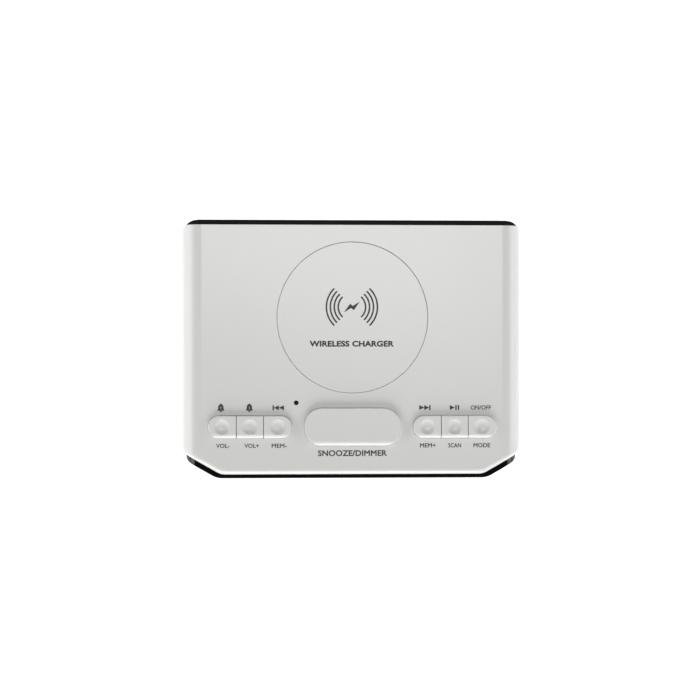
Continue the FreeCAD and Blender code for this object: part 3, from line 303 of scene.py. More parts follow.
def lettering_mesh(text: str, weight: float) -> bpy.types.Mesh:
    """Solid letters of size 1 and thickness 1, as a clean mesh.

    Args:
        text: The characters.
        weight: How far every stroke swells beyond its outline, as a share of the letters' size.

    Returns:
        A mesh of closed letters.
    """
    curve = bpy.data.curves.new("letters", "FONT")
    curve.body = text
    curve.extrude = 0.5
    curve.bevel_depth = weight
    curve.bevel_resolution = 0
    curve.space_character = 1 + weight
    curve.resolution_u = 4
    carrier = bpy.data.objects.new("letters", curve)
    bpy.context.scene.collection.objects.link(carrier)
    bpy.context.view_layer.update()
    mesh = bpy.data.meshes.new_from_object(carrier.evaluated_get(bpy.context.evaluated_depsgraph_get()))
    bpy.data.objects.remove(carrier)
    solid = bmesh.new()
    solid.from_mesh(mesh)
    bmesh.ops.remove_doubles(solid, verts=solid.verts, dist=1e-5)
    bmesh.ops.recalc_face_normals(solid, faces=solid.faces)
    solid.to_mesh(mesh)
    solid.free()
    return mesh


def corner_box(mesh: bpy.types.Mesh) -> tuple[Array, Array]:
    """Lowest and highest corners of a mesh."""
    flat = np.zeros(len(mesh.vertices) * 3)
    mesh.vertices.foreach_get("co", flat)
    places = flat.reshape(-1, 3)
    return places.min(axis=0), places.max(axis=0)


@dataclass(frozen=True)
class Lettering:
    """Printed or moulded capitals, fitted to a width and a cap height.

    Attributes:
        text: The characters.
        width: Overall width in metres.
        cap: Height of a capital in metres.
        weight: Extra boldness, as a share of the letters' size.
        height: Thickness of the print in metres.
    """

    text: str
    width: float
    cap: float
    weight: float = 0.024
    height: float = 0.03 * MM

    def piece(self, name: str, spot: Spot) -> Piece:
        """Makes the letters and lays them on their spot.

        Args:
            name: The piece's name.
            spot: Where the middle of the letters goes.

        Returns:
            The new piece.
        """
        mesh = lettering_mesh(self.text, self.weight)
        low, high = corner_box(mesh)
        capital = lettering_mesh("H", self.weight)
        cap_low, cap_high = corner_box(capital)
        bpy.data.meshes.remove(capital)
        middle = Vector(((low[0] + high[0]) / 2, (cap_low[1] + cap_high[1]) / 2, 0))
        across, along = self.width / (high[0] - low[0]), self.cap / (cap_high[1] - cap_low[1])
        scale = Matrix.Diagonal((across, along, self.height, 1))
        mesh.transform(spot.matrix() @ scale @ Matrix.Translation(-middle))
        mesh.name = name
        piece = bpy.data.objects.new(name, mesh)
        bpy.context.scene.collection.objects.link(piece)
        return piece


def stamped(name: str, outlines: Sequence[Array], spot: Spot, height: float = 0.015 * MM) -> Piece:
    """Flat shapes of even thickness, half sunk into the side that they lie on.

    Args:
        name: The piece's name.
        outlines: Closed outlines in the spot's plane, in metres.
        spot: Where they go.
        height: How far they stand up.

    Returns:
        The new piece.
    """
    points, faces = prisms(outlines, -height, height)
    piece = mesh_piece(name, points, faces)
    piece.data.transform(spot.matrix())
    return piece


# ------------------------------------------------------------------ finishes


class Recipe:
    """The node tree of one material, with the few steps that the finishes are mixed from."""

    def __init__(self, name: str) -> None:
        """Starts a material with one shader and the piece's own coordinates."""
        self.material = bpy.data.materials.new(name)
        self.material.use_nodes = True
        self.tree = self.material.node_tree
        self.shader = self.tree.nodes["Principled BSDF"]
        self.place = self.node("ShaderNodeTexCoord").outputs["Object"]

    def node(self, kind: str, **settings: object) -> bpy.types.Node:
        """Adds a node and sets its options."""
        made = self.tree.nodes.new(kind)
        for key, value in settings.items():
            setattr(made, key, value)
        return made

    def join(self, source: Socket, target: Socket) -> None:
        """Joins one node's result to another's input."""
        self.tree.links.new(source, target)

    def constants(self, **values: object) -> None:
        """Sets the shader's own sockets, with underscores for the spaces in their names."""
        for key, value in values.items():
            self.shader.inputs[key.replace("_", " ")].default_value = value

    def feed(self, name: str, source: Socket) -> None:
        """Joins a result to one of the shader's sockets."""
        self.join(source, self.shader.inputs[name])

    def shifted(self, centre: Sequence[float] = (0, 0, 0), stretch: Sequence[float] = (1, 1, 1)) -> Socket:
        """Coordinates measured from a centre and stretched along each axis."""
        mapping = self.node("ShaderNodeMapping", vector_type="POINT")
        mapping.inputs["Location"].default_value = [-c * s for c, s in zip(centre, stretch)]
        mapping.inputs["Scale"].default_value = stretch
        self.join(self.place, mapping.inputs["Vector"])
        return mapping.outputs["Vector"]

    def noise(self, grain: float, detail: float = 2.0, vector: Optional[Socket] = None) -> Socket:
        """Soft random pattern.

        Args:
            grain: Size of its patches in metres.
            detail: Number of finer layers on top.
            vector: Coordinates, if not the piece's own.

        Returns:
            A value from 0 to 1.
        """
        made = self.node("ShaderNodeTexNoise")
        made.inputs["Scale"].default_value = 1 / grain
        made.inputs["Detail"].default_value = detail
        self.join(vector or self.place, made.inputs["Vector"])
        return made.outputs["Fac"]

    def cells(self, size: float, vector: Optional[Socket] = None, feature: str = "F1") -> Socket:
        """Distance within a field of random cells of the given size."""
        made = self.node("ShaderNodeTexVoronoi", feature=feature)
        made.inputs["Scale"].default_value = 1 / size
        self.join(vector or self.place, made.inputs["Vector"])
        return made.outputs["Distance"]

    def ripples(
        self, pitch: float, direction: str, vector: Optional[Socket] = None, rings: bool = False
    ) -> Socket:
        """Even sine ridges.

        Args:
            pitch: Distance from ridge to ridge in metres.
            direction: The axis they are counted along, or the axis that rings go round.
            vector: Coordinates, if not the piece's own.
            rings: Whether they are rings instead of straight bands.

        Returns:
            A value from 0 to 1.
        """
        made = self.node("ShaderNodeTexWave", wave_type="RINGS" if rings else "BANDS")
        setattr(made, "rings_direction" if rings else "bands_direction", direction)
        made.inputs["Scale"].default_value = math.pi / 10 / pitch
        self.join(vector or self.place, made.inputs["Vector"])
        return made.outputs["Fac"]

    def span(self, source: Socket, low: float, high: float, start: float = 0.0, end: float = 1.0) -> Socket:
        """Carries the range start to end of a value over to low to high."""
        made = self.node("ShaderNodeMapRange")
        numbers = {"From Min": start, "From Max": end, "To Min": low, "To Max": high}
        for key, value in numbers.items():
            made.inputs[key].default_value = value
        self.join(source, made.inputs["Value"])
        return made.outputs["Result"]

    def product(self, first: Socket, second: Socket) -> Socket:
        """One value times another."""
        made = self.node("ShaderNodeMath", operation="MULTIPLY")
        self.join(first, made.inputs[0])
        self.join(second, made.inputs[1])
        return made.outputs["Value"]

    def tint(self, factor: Socket, first: Colour, second: Colour) -> Socket:
        """Runs from one colour to another as a value goes from 0 to 1."""
        made = self.node("ShaderNodeMix", data_type="RGBA")
        made.inputs[6].default_value = (*first, 1)
        made.inputs[7].default_value = (*second, 1)
        self.join(factor, made.inputs[0])
        return made.outputs[2]

    def relief(self, height: Socket, depth: float, under: Optional[Socket] = None) -> Socket:
        """A bump from a height value.

        Args:
            height: The pattern, from 0 to 1.
            depth: The relief's real depth in metres.
            under: A coarser bump that this one lies on.

        Returns:
            The bent normal.
        """
        made = self.node("ShaderNodeBump")
        made.inputs["Distance"].default_value = depth
        self.join(height, made.inputs["Height"])
        if under is not None:
            self.join(under, made.inputs["Normal"])
        return made.outputs["Normal"]

    def colours(self, factor: Socket, colour: Colour, low: float, high: float) -> None:
        """Sets the surface's colour, from low to high times a colour as a value goes from 0 to 1."""
        self.feed("Base Color", self.tint(factor, shade(colour, low), shade(colour, high)))

    def gloss(self, source: Socket, low: float, high: float, start: float = 0.0, end: float = 1.0) -> None:
        """Sets the roughness: the range start to end of a value, carried over to low to high."""
        self.feed("Roughness", self.span(source, low, high, start, end))

    def bumps(self, height: Socket, depth: float, under: Optional[Socket] = None) -> None:
        """Sets the relief of the surface from a height value."""
        self.feed("Normal", self.relief(height, depth, under))


def shade(colour: Colour, factor: float) -> Colour:
    """The colour made lighter or darker by a factor."""
    return tuple(min(c * factor, 1.0) for c in colour)


@dataclass(frozen=True)
class Finish:
    """The look of one kind of surface.

    Attributes:
        name: The material's name.
        colour: Its main colour.
    """

    name: str
    colour: Colour

    def material(self) -> bpy.types.Material:
        """Makes the material and mixes its nodes."""
        recipe = Recipe(self.name)
        self.mix(recipe)
        return recipe.material

    def mix(self, recipe: Recipe) -> None:
        """Mixes the nodes, which each kind of surface does in its own way."""
        raise NotImplementedError


@dataclass(frozen=True)
class Moulding(Finish):
    """Injection-moulded plastic with an etched grain.

    Attributes:
        rough: Middle of the roughness, which wanders a little about it.
        grain: Size of the etched grains in metres.
        depth: Depth of the grain in metres.
        drift: Share by which the colour wanders over a few centimetres.
        wander: How far the roughness wanders to either side.
        coat: Share of clear gloss on top.
        sheen_level: Strength of the plastic's own reflection, 0.5 for a common resin.
    """

    rough: float = 0.45
    grain: float = 0.35 * MM
    depth: float = 0.004 * MM
    drift: float = 0.02
    wander: float = 0.04
    coat: float = 0.0
    sheen_level: float = 0.5

    def mix(self, recipe: Recipe) -> None:
        """Slow colour drift, wandering gloss, and two sizes of etched grain."""
        drift = recipe.span(recipe.noise(22 * MM, 3.0), 0.0, 1.0, 0.3, 0.7)
        recipe.colours(drift, self.colour, 1 - self.drift, 1 + self.drift)
        low, high = self.rough - self.wander, self.rough + self.wander
        recipe.gloss(recipe.noise(6 * MM, 4.0), low, high, 0.3, 0.7)
        etched = recipe.relief(recipe.noise(self.grain, 2.0), self.depth)
        pits = recipe.span(recipe.cells(self.grain * 1.7), 0.0, 1.0, 0.1, 0.6)
        recipe.bumps(pits, self.depth * 0.6, etched)
        recipe.constants(IOR=1.5, Specular_IOR_Level=self.sheen_level)
        recipe.constants(Coat_Weight=self.coat, Coat_Roughness=0.08)


@dataclass(frozen=True)
class Lacquer(Finish):
    """Polished black lacquer-like plastic, with faint handling marks.

    Attributes:
        rough: Roughness where it is clean.
        smear: How much rougher the faint smears are.
    """

    rough: float = 0.05
    smear: float = 0.07

    def mix(self, recipe: Recipe) -> None:
        """Near-black, smeared gloss, and the slow waviness of a moulded sheet."""
        recipe.colours(recipe.cells(9 * MM, feature="SMOOTH_F1"), self.colour, 0.8, 1.3)
        smears = recipe.noise(14 * MM, 6.0, recipe.shifted(stretch=(1, 1, 2.2)))
        recipe.gloss(smears, self.rough, self.rough + self.smear, 0.48, 0.72)
        recipe.bumps(recipe.noise(11 * MM, 1.0), 0.010 * MM)
        recipe.constants(IOR=1.5, Specular_IOR_Level=0.35, Coat_Weight=0.15, Coat_Roughness=0.03)


@dataclass(frozen=True)
class Metal(Finish):
    """Plated or drawn metal with fine lines.

    Attributes:
        rough: Middle of the roughness.
        along: Stretch of the drawn lines on each axis.
    """

    rough: float = 0.28
    along: tuple[float, float, float] = (1, 12, 12)

    def mix(self, recipe: Recipe) -> None:
        """Drawn lines in gloss and relief, and slow tarnish in the colour."""
        lines = recipe.noise(2.5 * MM, 4.0, recipe.shifted(stretch=self.along))
        recipe.colours(recipe.noise(5 * MM, 3.0), self.colour, 0.82, 1.08)
        recipe.gloss(lines, self.rough - 0.08, self.rough + 0.12, 0.3, 0.7)
        recipe.bumps(lines, 0.004 * MM)
        recipe.constants(Metallic=1.0)


@dataclass(frozen=True)
class Rubber(Finish):
    """Soft black rubber with a bloom on it."""

    def mix(self, recipe: Recipe) -> None:
        """Dusty bloom over fine pores."""
        bloom = recipe.span(recipe.noise(3 * MM, 5.0), 0.0, 1.0, 0.42, 0.75)
        recipe.colours(bloom, self.colour, 1.0, 2.2)
        recipe.gloss(bloom, 0.68, 0.86)
        recipe.bumps(recipe.noise(0.25 * MM, 3.0), 0.012 * MM)
        recipe.constants(Sheen_Weight=0.12, Sheen_Roughness=0.5)


@dataclass(frozen=True)
class PrintInk(Finish):
    """Pad-printed ink, a little thin in places."""

    def mix(self, recipe: Recipe) -> None:
        """Pinholes and thin patches in a matt film."""
        patches = recipe.span(recipe.noise(0.5 * MM, 3.0), 0.0, 1.0, 0.35, 0.75)
        recipe.colours(patches, self.colour, 0.9, 1.25)
        recipe.gloss(patches, 0.5, 0.62)
        recipe.constants(IOR=1.45)


@dataclass(frozen=True)
class Smoked(Finish):
    """Tinted clear acrylic.

    Attributes:
        cover: How much of what lies behind it hides.
    """

    cover: float

    def mix(self, recipe: Recipe) -> None:
        """An even tint under polish with faint swirl marks."""
        swirls = recipe.noise(9 * MM, 6.0, recipe.shifted(stretch=(1, 1, 3)))
        recipe.gloss(swirls, 0.02, 0.07, 0.45, 0.75)
        recipe.constants(Base_Color=(*self.colour, 1), Alpha=self.cover, IOR=1.49)


@dataclass(frozen=True)
class Glow(Finish):
    """A lit diffuser.

    Attributes:
        strength: Its brightness.
    """

    strength: float

    def mix(self, recipe: Recipe) -> None:
        """An even glow, a touch brighter and dimmer from patch to patch."""
        patches = recipe.noise(3 * MM, 1.0)
        recipe.feed("Emission Color", recipe.tint(patches, shade(self.colour, 0.85), self.colour))
        recipe.constants(Base_Color=(*self.colour, 1), Roughness=0.4, Emission_Strength=self.strength)


@dataclass(frozen=True)
class BoardLacquer(Finish):
    """A circuit board: solder mask over copper tracks. Its main colour is that of the mask over bare board.

    Attributes:
        track: Colour of the mask over copper.
    """

    track: Colour

    def mix(self, recipe: Recipe) -> None:
        """Tracks along the borders of random cells, raised over a fine weave."""
        copper = recipe.span(recipe.cells(3.2 * MM, feature="DISTANCE_TO_EDGE"), 0.0, 1.0, 0.10, 0.13)
        recipe.feed("Base Color", recipe.tint(copper, self.track, self.colour))
        recipe.gloss(recipe.noise(4 * MM, 3.0), 0.22, 0.36)
        weave = recipe.relief(recipe.noise(0.6 * MM, 2.0), 0.006 * MM)
        recipe.bumps(copper, 0.02 * MM, weave)
        recipe.constants(Coat_Weight=0.3, Coat_Roughness=0.1)


@dataclass(frozen=True)
class Weave(Finish):
    """Fine open cloth that reads the piece's own map, so that it follows a bent panel.

    Attributes:
        pitch: Distance between threads in metres.
    """

    pitch: float = 0.5 * MM

    def mix(self, recipe: Recipe) -> None:
        """Two crossing sets of threads, darker in the gaps."""
        flat = recipe.node("ShaderNodeUVMap").outputs["UV"]
        warp, weft = (recipe.ripples(self.pitch, way, flat) for way in "XY")
        crossing = recipe.product(warp, weft)
        recipe.colours(crossing, self.colour, 0.35, 1.6)
        recipe.bumps(crossing, 0.12 * MM)
        recipe.gloss(crossing, 0.7, 0.9)
        recipe.constants(Sheen_Weight=0.2, Sheen_Roughness=0.4)


@dataclass(frozen=True)
class Winding(Finish):
    """Enamelled wire wound in rings round an upright axis.

    Attributes:
        centre: A point of the axis.
        pitch: Distance from strand to strand.
    """

    centre: tuple[float, float, float]
    pitch: float = 0.22 * MM

    def mix(self, recipe: Recipe) -> None:
        """Fine strands in rings, with the enamel's colour wandering along them."""
        strands = recipe.ripples(self.pitch, "Z", recipe.shifted(self.centre), rings=True)
        recipe.colours(recipe.noise(4 * MM, 3.0), self.colour, 0.7, 1.2)
        recipe.gloss(strands, 0.25, 0.4)
        recipe.bumps(strands, 0.03 * MM)
        recipe.constants(Metallic=1.0, Coat_Weight=0.5, Coat_Roughness=0.15)


@dataclass(frozen=True)
class Pulp(Finish):
    """Pressed paper pulp, as a loudspeaker cone is made of."""

    def mix(self, recipe: Recipe) -> None:
        """Felted fibres in colour and relief."""
        fibres = recipe.noise(0.9 * MM, 6.0, recipe.shifted(stretch=(1, 2.5, 1)))
        recipe.colours(fibres, self.colour, 0.6, 1.5)
        recipe.bumps(fibres, 0.05 * MM)
        recipe.constants(Roughness=0.92)


@dataclass
class Palette:
    """Every finish of the object by name, each made into a material once.

    Attributes:
        made: Materials made so far.
    """

    made: dict[str, bpy.types.Material] = field(default_factory=dict)

    def of(self, finish: Finish) -> bpy.types.Material:
        """The material for a finish."""
        if finish.name not in self.made:
            self.made[finish.name] = finish.material()
        return self.made[finish.name]

    def dress(self, piece: Piece, finish: Finish) -> None:
        """Puts one finish on the whole of a piece."""
        piece.data.materials.clear()
        piece.data.materials.append(self.of(finish))

    def add(self, piece: Piece, finish: Finish, slot: str, body: str = BODY) -> None:
        """Dresses a new piece and fixes it to its body."""
        self.dress(piece, finish)
        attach(piece, body)
        log.info("%s on %s, %d faces", piece.name, body, len(piece.data.polygons))


SATIN: dict[str, float] = {"rough": 0.24, "wander": 0.010}
SHELL_WHITE = Moulding("shell_white", (0.760, 0.760, 0.747), depth=0.0008 * MM, drift=0.004, **SATIN)
PAD_WHITE = Moulding("pad_white", (0.760, 0.760, 0.749), depth=0.0007 * MM, drift=0.003, **SATIN)
KEY_WHITE = Moulding(
    "key_white", (0.760, 0.760, 0.749), grain=0.3 * MM, depth=0.0006 * MM, drift=0.003, **SATIN
)
TRAY_BLACK = Moulding("tray_black", (0.016, 0.016, 0.017), rough=0.56, depth=0.012 * MM, drift=0.12)
REAR_BLACK = Moulding(
    "rear_black", (0.0045, 0.0045, 0.005), rough=0.55, depth=0.009 * MM, drift=0.10, sheen_level=0.12
)
BEZEL_BLACK = Lacquer("bezel_black", (0.004, 0.004, 0.0045))
LENS_SMOKE = Smoked("lens_smoke", (0.006, 0.006, 0.007), cover=0.62)
FOOT_RUBBER = Rubber("foot_rubber", (0.018, 0.018, 0.018))
FRAME_GREY = Moulding("frame_grey", (0.09, 0.09, 0.095), rough=0.6, depth=0.010 * MM, drift=0.08)
BLOCK_BLACK = Moulding("block_black", (0.010, 0.010, 0.011), rough=0.65, depth=0.008 * MM, drift=0.1)
SWITCH_BLACK = Moulding("switch_black", (0.022, 0.022, 0.022), rough=0.35, drift=0.1)
PIN_GREY = Moulding("pin_grey", (0.33, 0.33, 0.34), rough=0.4, drift=0.05)
SEGMENT_MILK = Moulding("segment_milk", (0.055, 0.058, 0.062), rough=0.5, drift=0.04)
PACKAGE_BLACK = Moulding("package_black", (0.018, 0.018, 0.019), rough=0.55, grain=0.2 * MM, drift=0.1)
CAN_SLEEVE = Moulding("can_sleeve", (0.015, 0.022, 0.06), rough=0.3, drift=0.05, coat=0.4)
SOCKET_BLACK = Moulding("socket_black", (0.012, 0.012, 0.013), rough=0.38, drift=0.08)
PLUG_WHITE = Moulding("plug_white", (0.68, 0.67, 0.62), rough=0.45, drift=0.03)
CABLE_WHITE = Moulding("cable_white", (0.62, 0.62, 0.60), rough=0.4, grain=0.8 * MM, drift=0.02)
FERRITE_GREY = Moulding(
    "ferrite_grey", (0.035, 0.035, 0.040), rough=0.5, grain=0.6 * MM, depth=0.02 * MM, drift=0.15
)
BASKET_BLACK = Moulding("basket_black", (0.03, 0.03, 0.032), rough=0.42, drift=0.08)
SCREW_BLACK = Metal("screw_black", (0.06, 0.06, 0.062), rough=0.38)
SCREW_ZINC = Metal("screw_zinc", (0.62, 0.62, 0.60), rough=0.3)
NICKEL = Metal("nickel", (0.68, 0.66, 0.62), rough=0.2)
TIN_SHIELD = Metal("tin_shield", (0.60, 0.60, 0.60), rough=0.32, along=(1, 1, 1))
MAGNET_GREY = Metal("magnet_grey", (0.32, 0.32, 0.33), rough=0.45, along=(1, 1, 1))
BOARD_GREEN = BoardLacquer("board_green", (0.008, 0.060, 0.022), (0.018, 0.13, 0.045))
CONE_PULP = Pulp("cone_pulp", (0.035, 0.033, 0.031))
DARK_INK = PrintInk("dark_ink", (0.050, 0.050, 0.052))
LIGHT_INK = PrintInk("light_ink", (0.60, 0.60, 0.59))
LABEL_GREY = PrintInk("label_grey", (0.22, 0.22, 0.225))
SLOT_CLOTH = Weave("slot_cloth", (0.012, 0.012, 0.013))
SEGMENT_LIT = Glow("segment_lit", (0.80, 0.93, 1.0), 2.6)


# ------------------------------------------------------------------ the frame's own parts


@dataclass
class Mouldings:
    """Puts a finish on every part that comes with the frame.

    Attributes:
        palette: Where materials come from.
    """

    palette: Palette

    def finishes(self) -> dict[str, Finish]:
        """Which finish each part of the frame takes.

        Returns:
            Finish by part name.
        """
        chosen: dict[str, Finish] = {
            "upper_case": SHELL_WHITE, "charging_pad": PAD_WHITE, "lower_case": TRAY_BLACK,
            "front_bezel": BEZEL_BLACK, "display_lens": LENS_SMOKE, "rear_cover": REAR_BLACK,
            "battery_cap": TRAY_BLACK, "rubber_feet": FOOT_RUBBER, "front_baffle": FRAME_GREY,
            "key_board": BOARD_GREEN, "main_board": BOARD_GREEN, "display_board": BOARD_GREEN,
            "charger_board": BOARD_GREEN, "digit_module": BLOCK_BLACK, "digit_segments": SEGMENT_MILK,
            "tact_switches": SWITCH_BLACK, "chips": PACKAGE_BLACK, "capacitors": CAN_SLEEVE,
            "radio_module": TIN_SHIELD, "dc_jack": SOCKET_BLACK, "dc_jack_pin": NICKEL,
            "charge_socket_shell": NICKEL, "charge_socket_tongue": PLUG_WHITE, "aux_jack": SOCKET_BLACK,
            "antenna_gland": FOOT_RUBBER, "ferrite_sheet": FERRITE_GREY, "coil_tray": FRAME_GREY,
            "microphone": BLOCK_BLACK, "coin_cell": NICKEL, "cell_contact": NICKEL,
            "flat_cables": CABLE_WHITE, "cable_plugs": PLUG_WHITE, "case_screws": SCREW_BLACK,
            "rear_screws": SCREW_BLACK, "board_screws": SCREW_ZINC, "speaker_screws": SCREW_ZINC,
            "snooze_bar": KEY_WHITE,
        }
        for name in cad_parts:
            if name.endswith("_key"):
                chosen[name] = KEY_WHITE
            if name.endswith("_plunger"):
                chosen[name] = PIN_GREY
        for side in ("left", "right"):
            chosen[f"{side}_speaker_basket"] = BASKET_BLACK
            chosen[f"{side}_speaker_magnet"] = MAGNET_GREY
            chosen[f"{side}_speaker_cone"] = CONE_PULP
            chosen[f"{side}_speaker_surround"] = FOOT_RUBBER
        return chosen

    def build(self) -> None:
        """Dresses the parts."""
        for name, finish in self.finishes().items():
            self.palette.dress(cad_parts[name], finish)
        log.info("dressed %d parts of the frame", len(self.finishes()))


# ------------------------------------------------------------------ the top face


class Mark(Enum):
    """The pictograms and the one word printed behind the keys."""

    ALARM_ONE = "1"
    ALARM_TWO = "2"
    BACK = "back"
    FORWARD = "forward"
    PLAY_PAUSE = "play_pause"
    POWER = "ON/OFF"


@dataclass(frozen=True)
class KeyPrint:
    """What is printed round one key.

    Attributes:
        key: The key's name.
        word: The word in front of it.
        width: That word's width.
        mark: What is printed behind it.
        nudge: How far the word stands to the right of the key's middle.
        mark_nudge: The same, for the mark.
    """

    key: str
    word: str
    width: float
    mark: Mark
    nudge: float
    mark_nudge: float


@dataclass
class TopPrint:
    """All print on the top face.

    Attributes:
        palette: Where materials come from.
        word_cap: Cap height of the small words.
        word_drop: From a key's middle forward to the middle of its word.
        mark_rise: From a key's middle back to the middle of its mark.
        mark_height: Height of the arrows and strokes.
        mark_stroke: Width of an upright stroke.
        bell: Width and height of the alarm's bell.
        number_cap: Height of the number on the bell.
        power_width: Width of the one word that stands where the others have a mark.
        title_cap: Cap height of the two larger legends.
        pad_title: Width of the pad's legend, and its place from the pad's middle.
        bar_title: Width of the bar's legend, and how far in front of the bar it is.
        sign_shift: From the pad's middle to the middle of the charging sign.
        wave_radii: Radii of the sign's waves.
        wave_stroke: Width of their strokes.
        wave_reach: Degrees that each wave runs to either side of level.
    """

    palette: Palette
    word_cap: float = 2.05 * MM
    word_drop: float = 9.0 * MM
    mark_rise: float = 9.25 * MM
    mark_height: float = 2.4 * MM
    mark_stroke: float = 0.7 * MM
    bell: tuple[float, float] = (3.5 * MM, 3.1 * MM)
    number_cap: float = 1.15 * MM
    power_width: float = 9.9 * MM
    title_cap: float = 2.8 * MM
    pad_title: tuple[float, float, float] = (40.7 * MM, -0.35 * MM, -12.7 * MM)
    bar_title: tuple[float, float] = (33.3 * MM, 2.6 * MM)
    sign_shift: tuple[float, float] = (-0.3 * MM, 5.0 * MM)
    wave_radii: tuple[float, ...] = (6.6 * MM, 8.5 * MM, 10.4 * MM, 12.3 * MM)
    wave_stroke: float = 0.78 * MM
    wave_reach: float = 45.0
    keys: tuple[KeyPrint, ...] = (
        KeyPrint("vol_down", "VOL-", 6.5 * MM, Mark.ALARM_ONE, 0.3 * MM, -0.6 * MM),
        KeyPrint("vol_up", "VOL+", 7.0 * MM, Mark.ALARM_TWO, 0.8 * MM, -0.3 * MM),
        KeyPrint("mem_down", "MEM-", 7.3 * MM, Mark.BACK, 0.7 * MM, 0.2 * MM),
        KeyPrint("mem_up", "MEM+", 7.7 * MM, Mark.FORWARD, 0.4 * MM, -1.0 * MM),
        KeyPrint("scan", "SCAN", 6.2 * MM, Mark.PLAY_PAUSE, 0.1 * MM, 0.0 * MM),
        KeyPrint("mode", "MODE", 8.1 * MM, Mark.POWER, -0.1 * MM, -0.6 * MM),
    )

    def build(self) -> None:
        """Prints the two larger legends, the words and marks of each key, and the charging sign."""
        self.titles()
        for key in self.keys:
            self.round_key(key)
        self.charging_sign()

    def top(self, x: float, y: float) -> Spot:
        """A spot on the top face."""
        return Spot(Facing.TOP, (x, y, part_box("upper_case")[1].z))

    def titles(self) -> None:
        """The name of the charging pad's function, and that of the wide bar."""
        width, across, along = self.pad_title
        title = Lettering("WIRELESS CHARGER", width, self.title_cap, weight=0.044)
        self.ink(title.piece("legend_charger", self.top(across, middle_of("charging_pad").y + along)))
        width, forward = self.bar_title
        words = Lettering("SNOOZE/DIMMER", width, self.title_cap, weight=0.030)
        self.ink(words.piece("legend_snooze", self.top(0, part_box("snooze_bar")[0].y - forward)))

    def round_key(self, key: KeyPrint) -> None:
        """The word in front of a key and the mark behind it.

        Args:
            key: What to print.
        """
        x, y, _ = middle_of(f"{key.key}_plunger")
        word = Lettering(key.word, key.width, self.word_cap)
        self.ink(word.piece(f"legend_{key.key}", self.top(x + key.nudge, y - self.word_drop)))
        spot = self.top(x + key.mark_nudge, y + self.mark_rise)
        if key.mark is Mark.POWER:
            self.ink(Lettering(key.mark.value, self.power_width, self.word_cap).piece("legend_power", spot))
            return
        self.ink(stamped(f"mark_{key.key}", self.mark_outlines(key.mark), spot))
        widths = {Mark.ALARM_ONE: 0.32 * MM, Mark.ALARM_TWO: 0.7 * MM}
        if key.mark in widths:
            number = Lettering(key.mark.value, widths[key.mark], self.number_cap, height=0.08 * MM)
            self.palette.add(number.piece(f"number_{key.key}", spot), LIGHT_INK, "light_ink")

    def mark_outlines(self, mark: Mark) -> list[Array]:
        """The outlines of one pictogram, about its own middle.

        Args:
            mark: Which pictogram.

        Returns:
            Closed outlines in metres.
        """
        high, stroke = self.mark_height, self.mark_stroke
        if mark in (Mark.ALARM_ONE, Mark.ALARM_TWO):
            bell = bell_outline(*self.bell) + [0, 0.2 * MM]
            clapper = arc_points((0, -1.42 * MM), 0.6 * MM, 180, 360, 12)
            knob = arc_points((0, 1.6 * MM), 0.45 * MM, 0, 180, 10)
            return [bell, clapper, knob]
        if mark is Mark.PLAY_PAUSE:
            bars = [upright_bar(x * MM, stroke, high) for x in (0.7, 1.9)]
            return [arrow_head(-2.3 * MM, 0.1 * MM, high), *bars]
        way = -1 if mark is Mark.BACK else 1
        heads = [arrow_head(way * base * MM, way * (base + 2.5) * MM, high) for base in (-2.75, -0.35)]
        return [*heads, upright_bar(way * 2.4 * MM, stroke, high)]

    def charging_sign(self) -> None:
        """The bolt between two sets of four waves."""
        pad = middle_of("charging_pad")
        spot = self.top(pad.x + self.sign_shift[0], pad.y + self.sign_shift[1])
        for name, level in (("waves_right", 0), ("waves_left", 180)):
            first, last = level - self.wave_reach, level + self.wave_reach
            waves = [stroke_arc(radius, self.wave_stroke, first, last) for radius in self.wave_radii]
            self.ink(stamped(name, waves, spot))
        half = np.array([[-3.85, -2.65], [-0.45, -0.5], [0.9, -1.55]]) * MM
        self.ink(stamped("bolt", [np.concatenate([half, -half])], spot))

    def ink(self, piece: Piece) -> None:
        """Prints a piece in the dark ink."""
        self.palette.add(piece, DARK_INK, "legend_ink")


# ------------------------------------------------------------------ the front


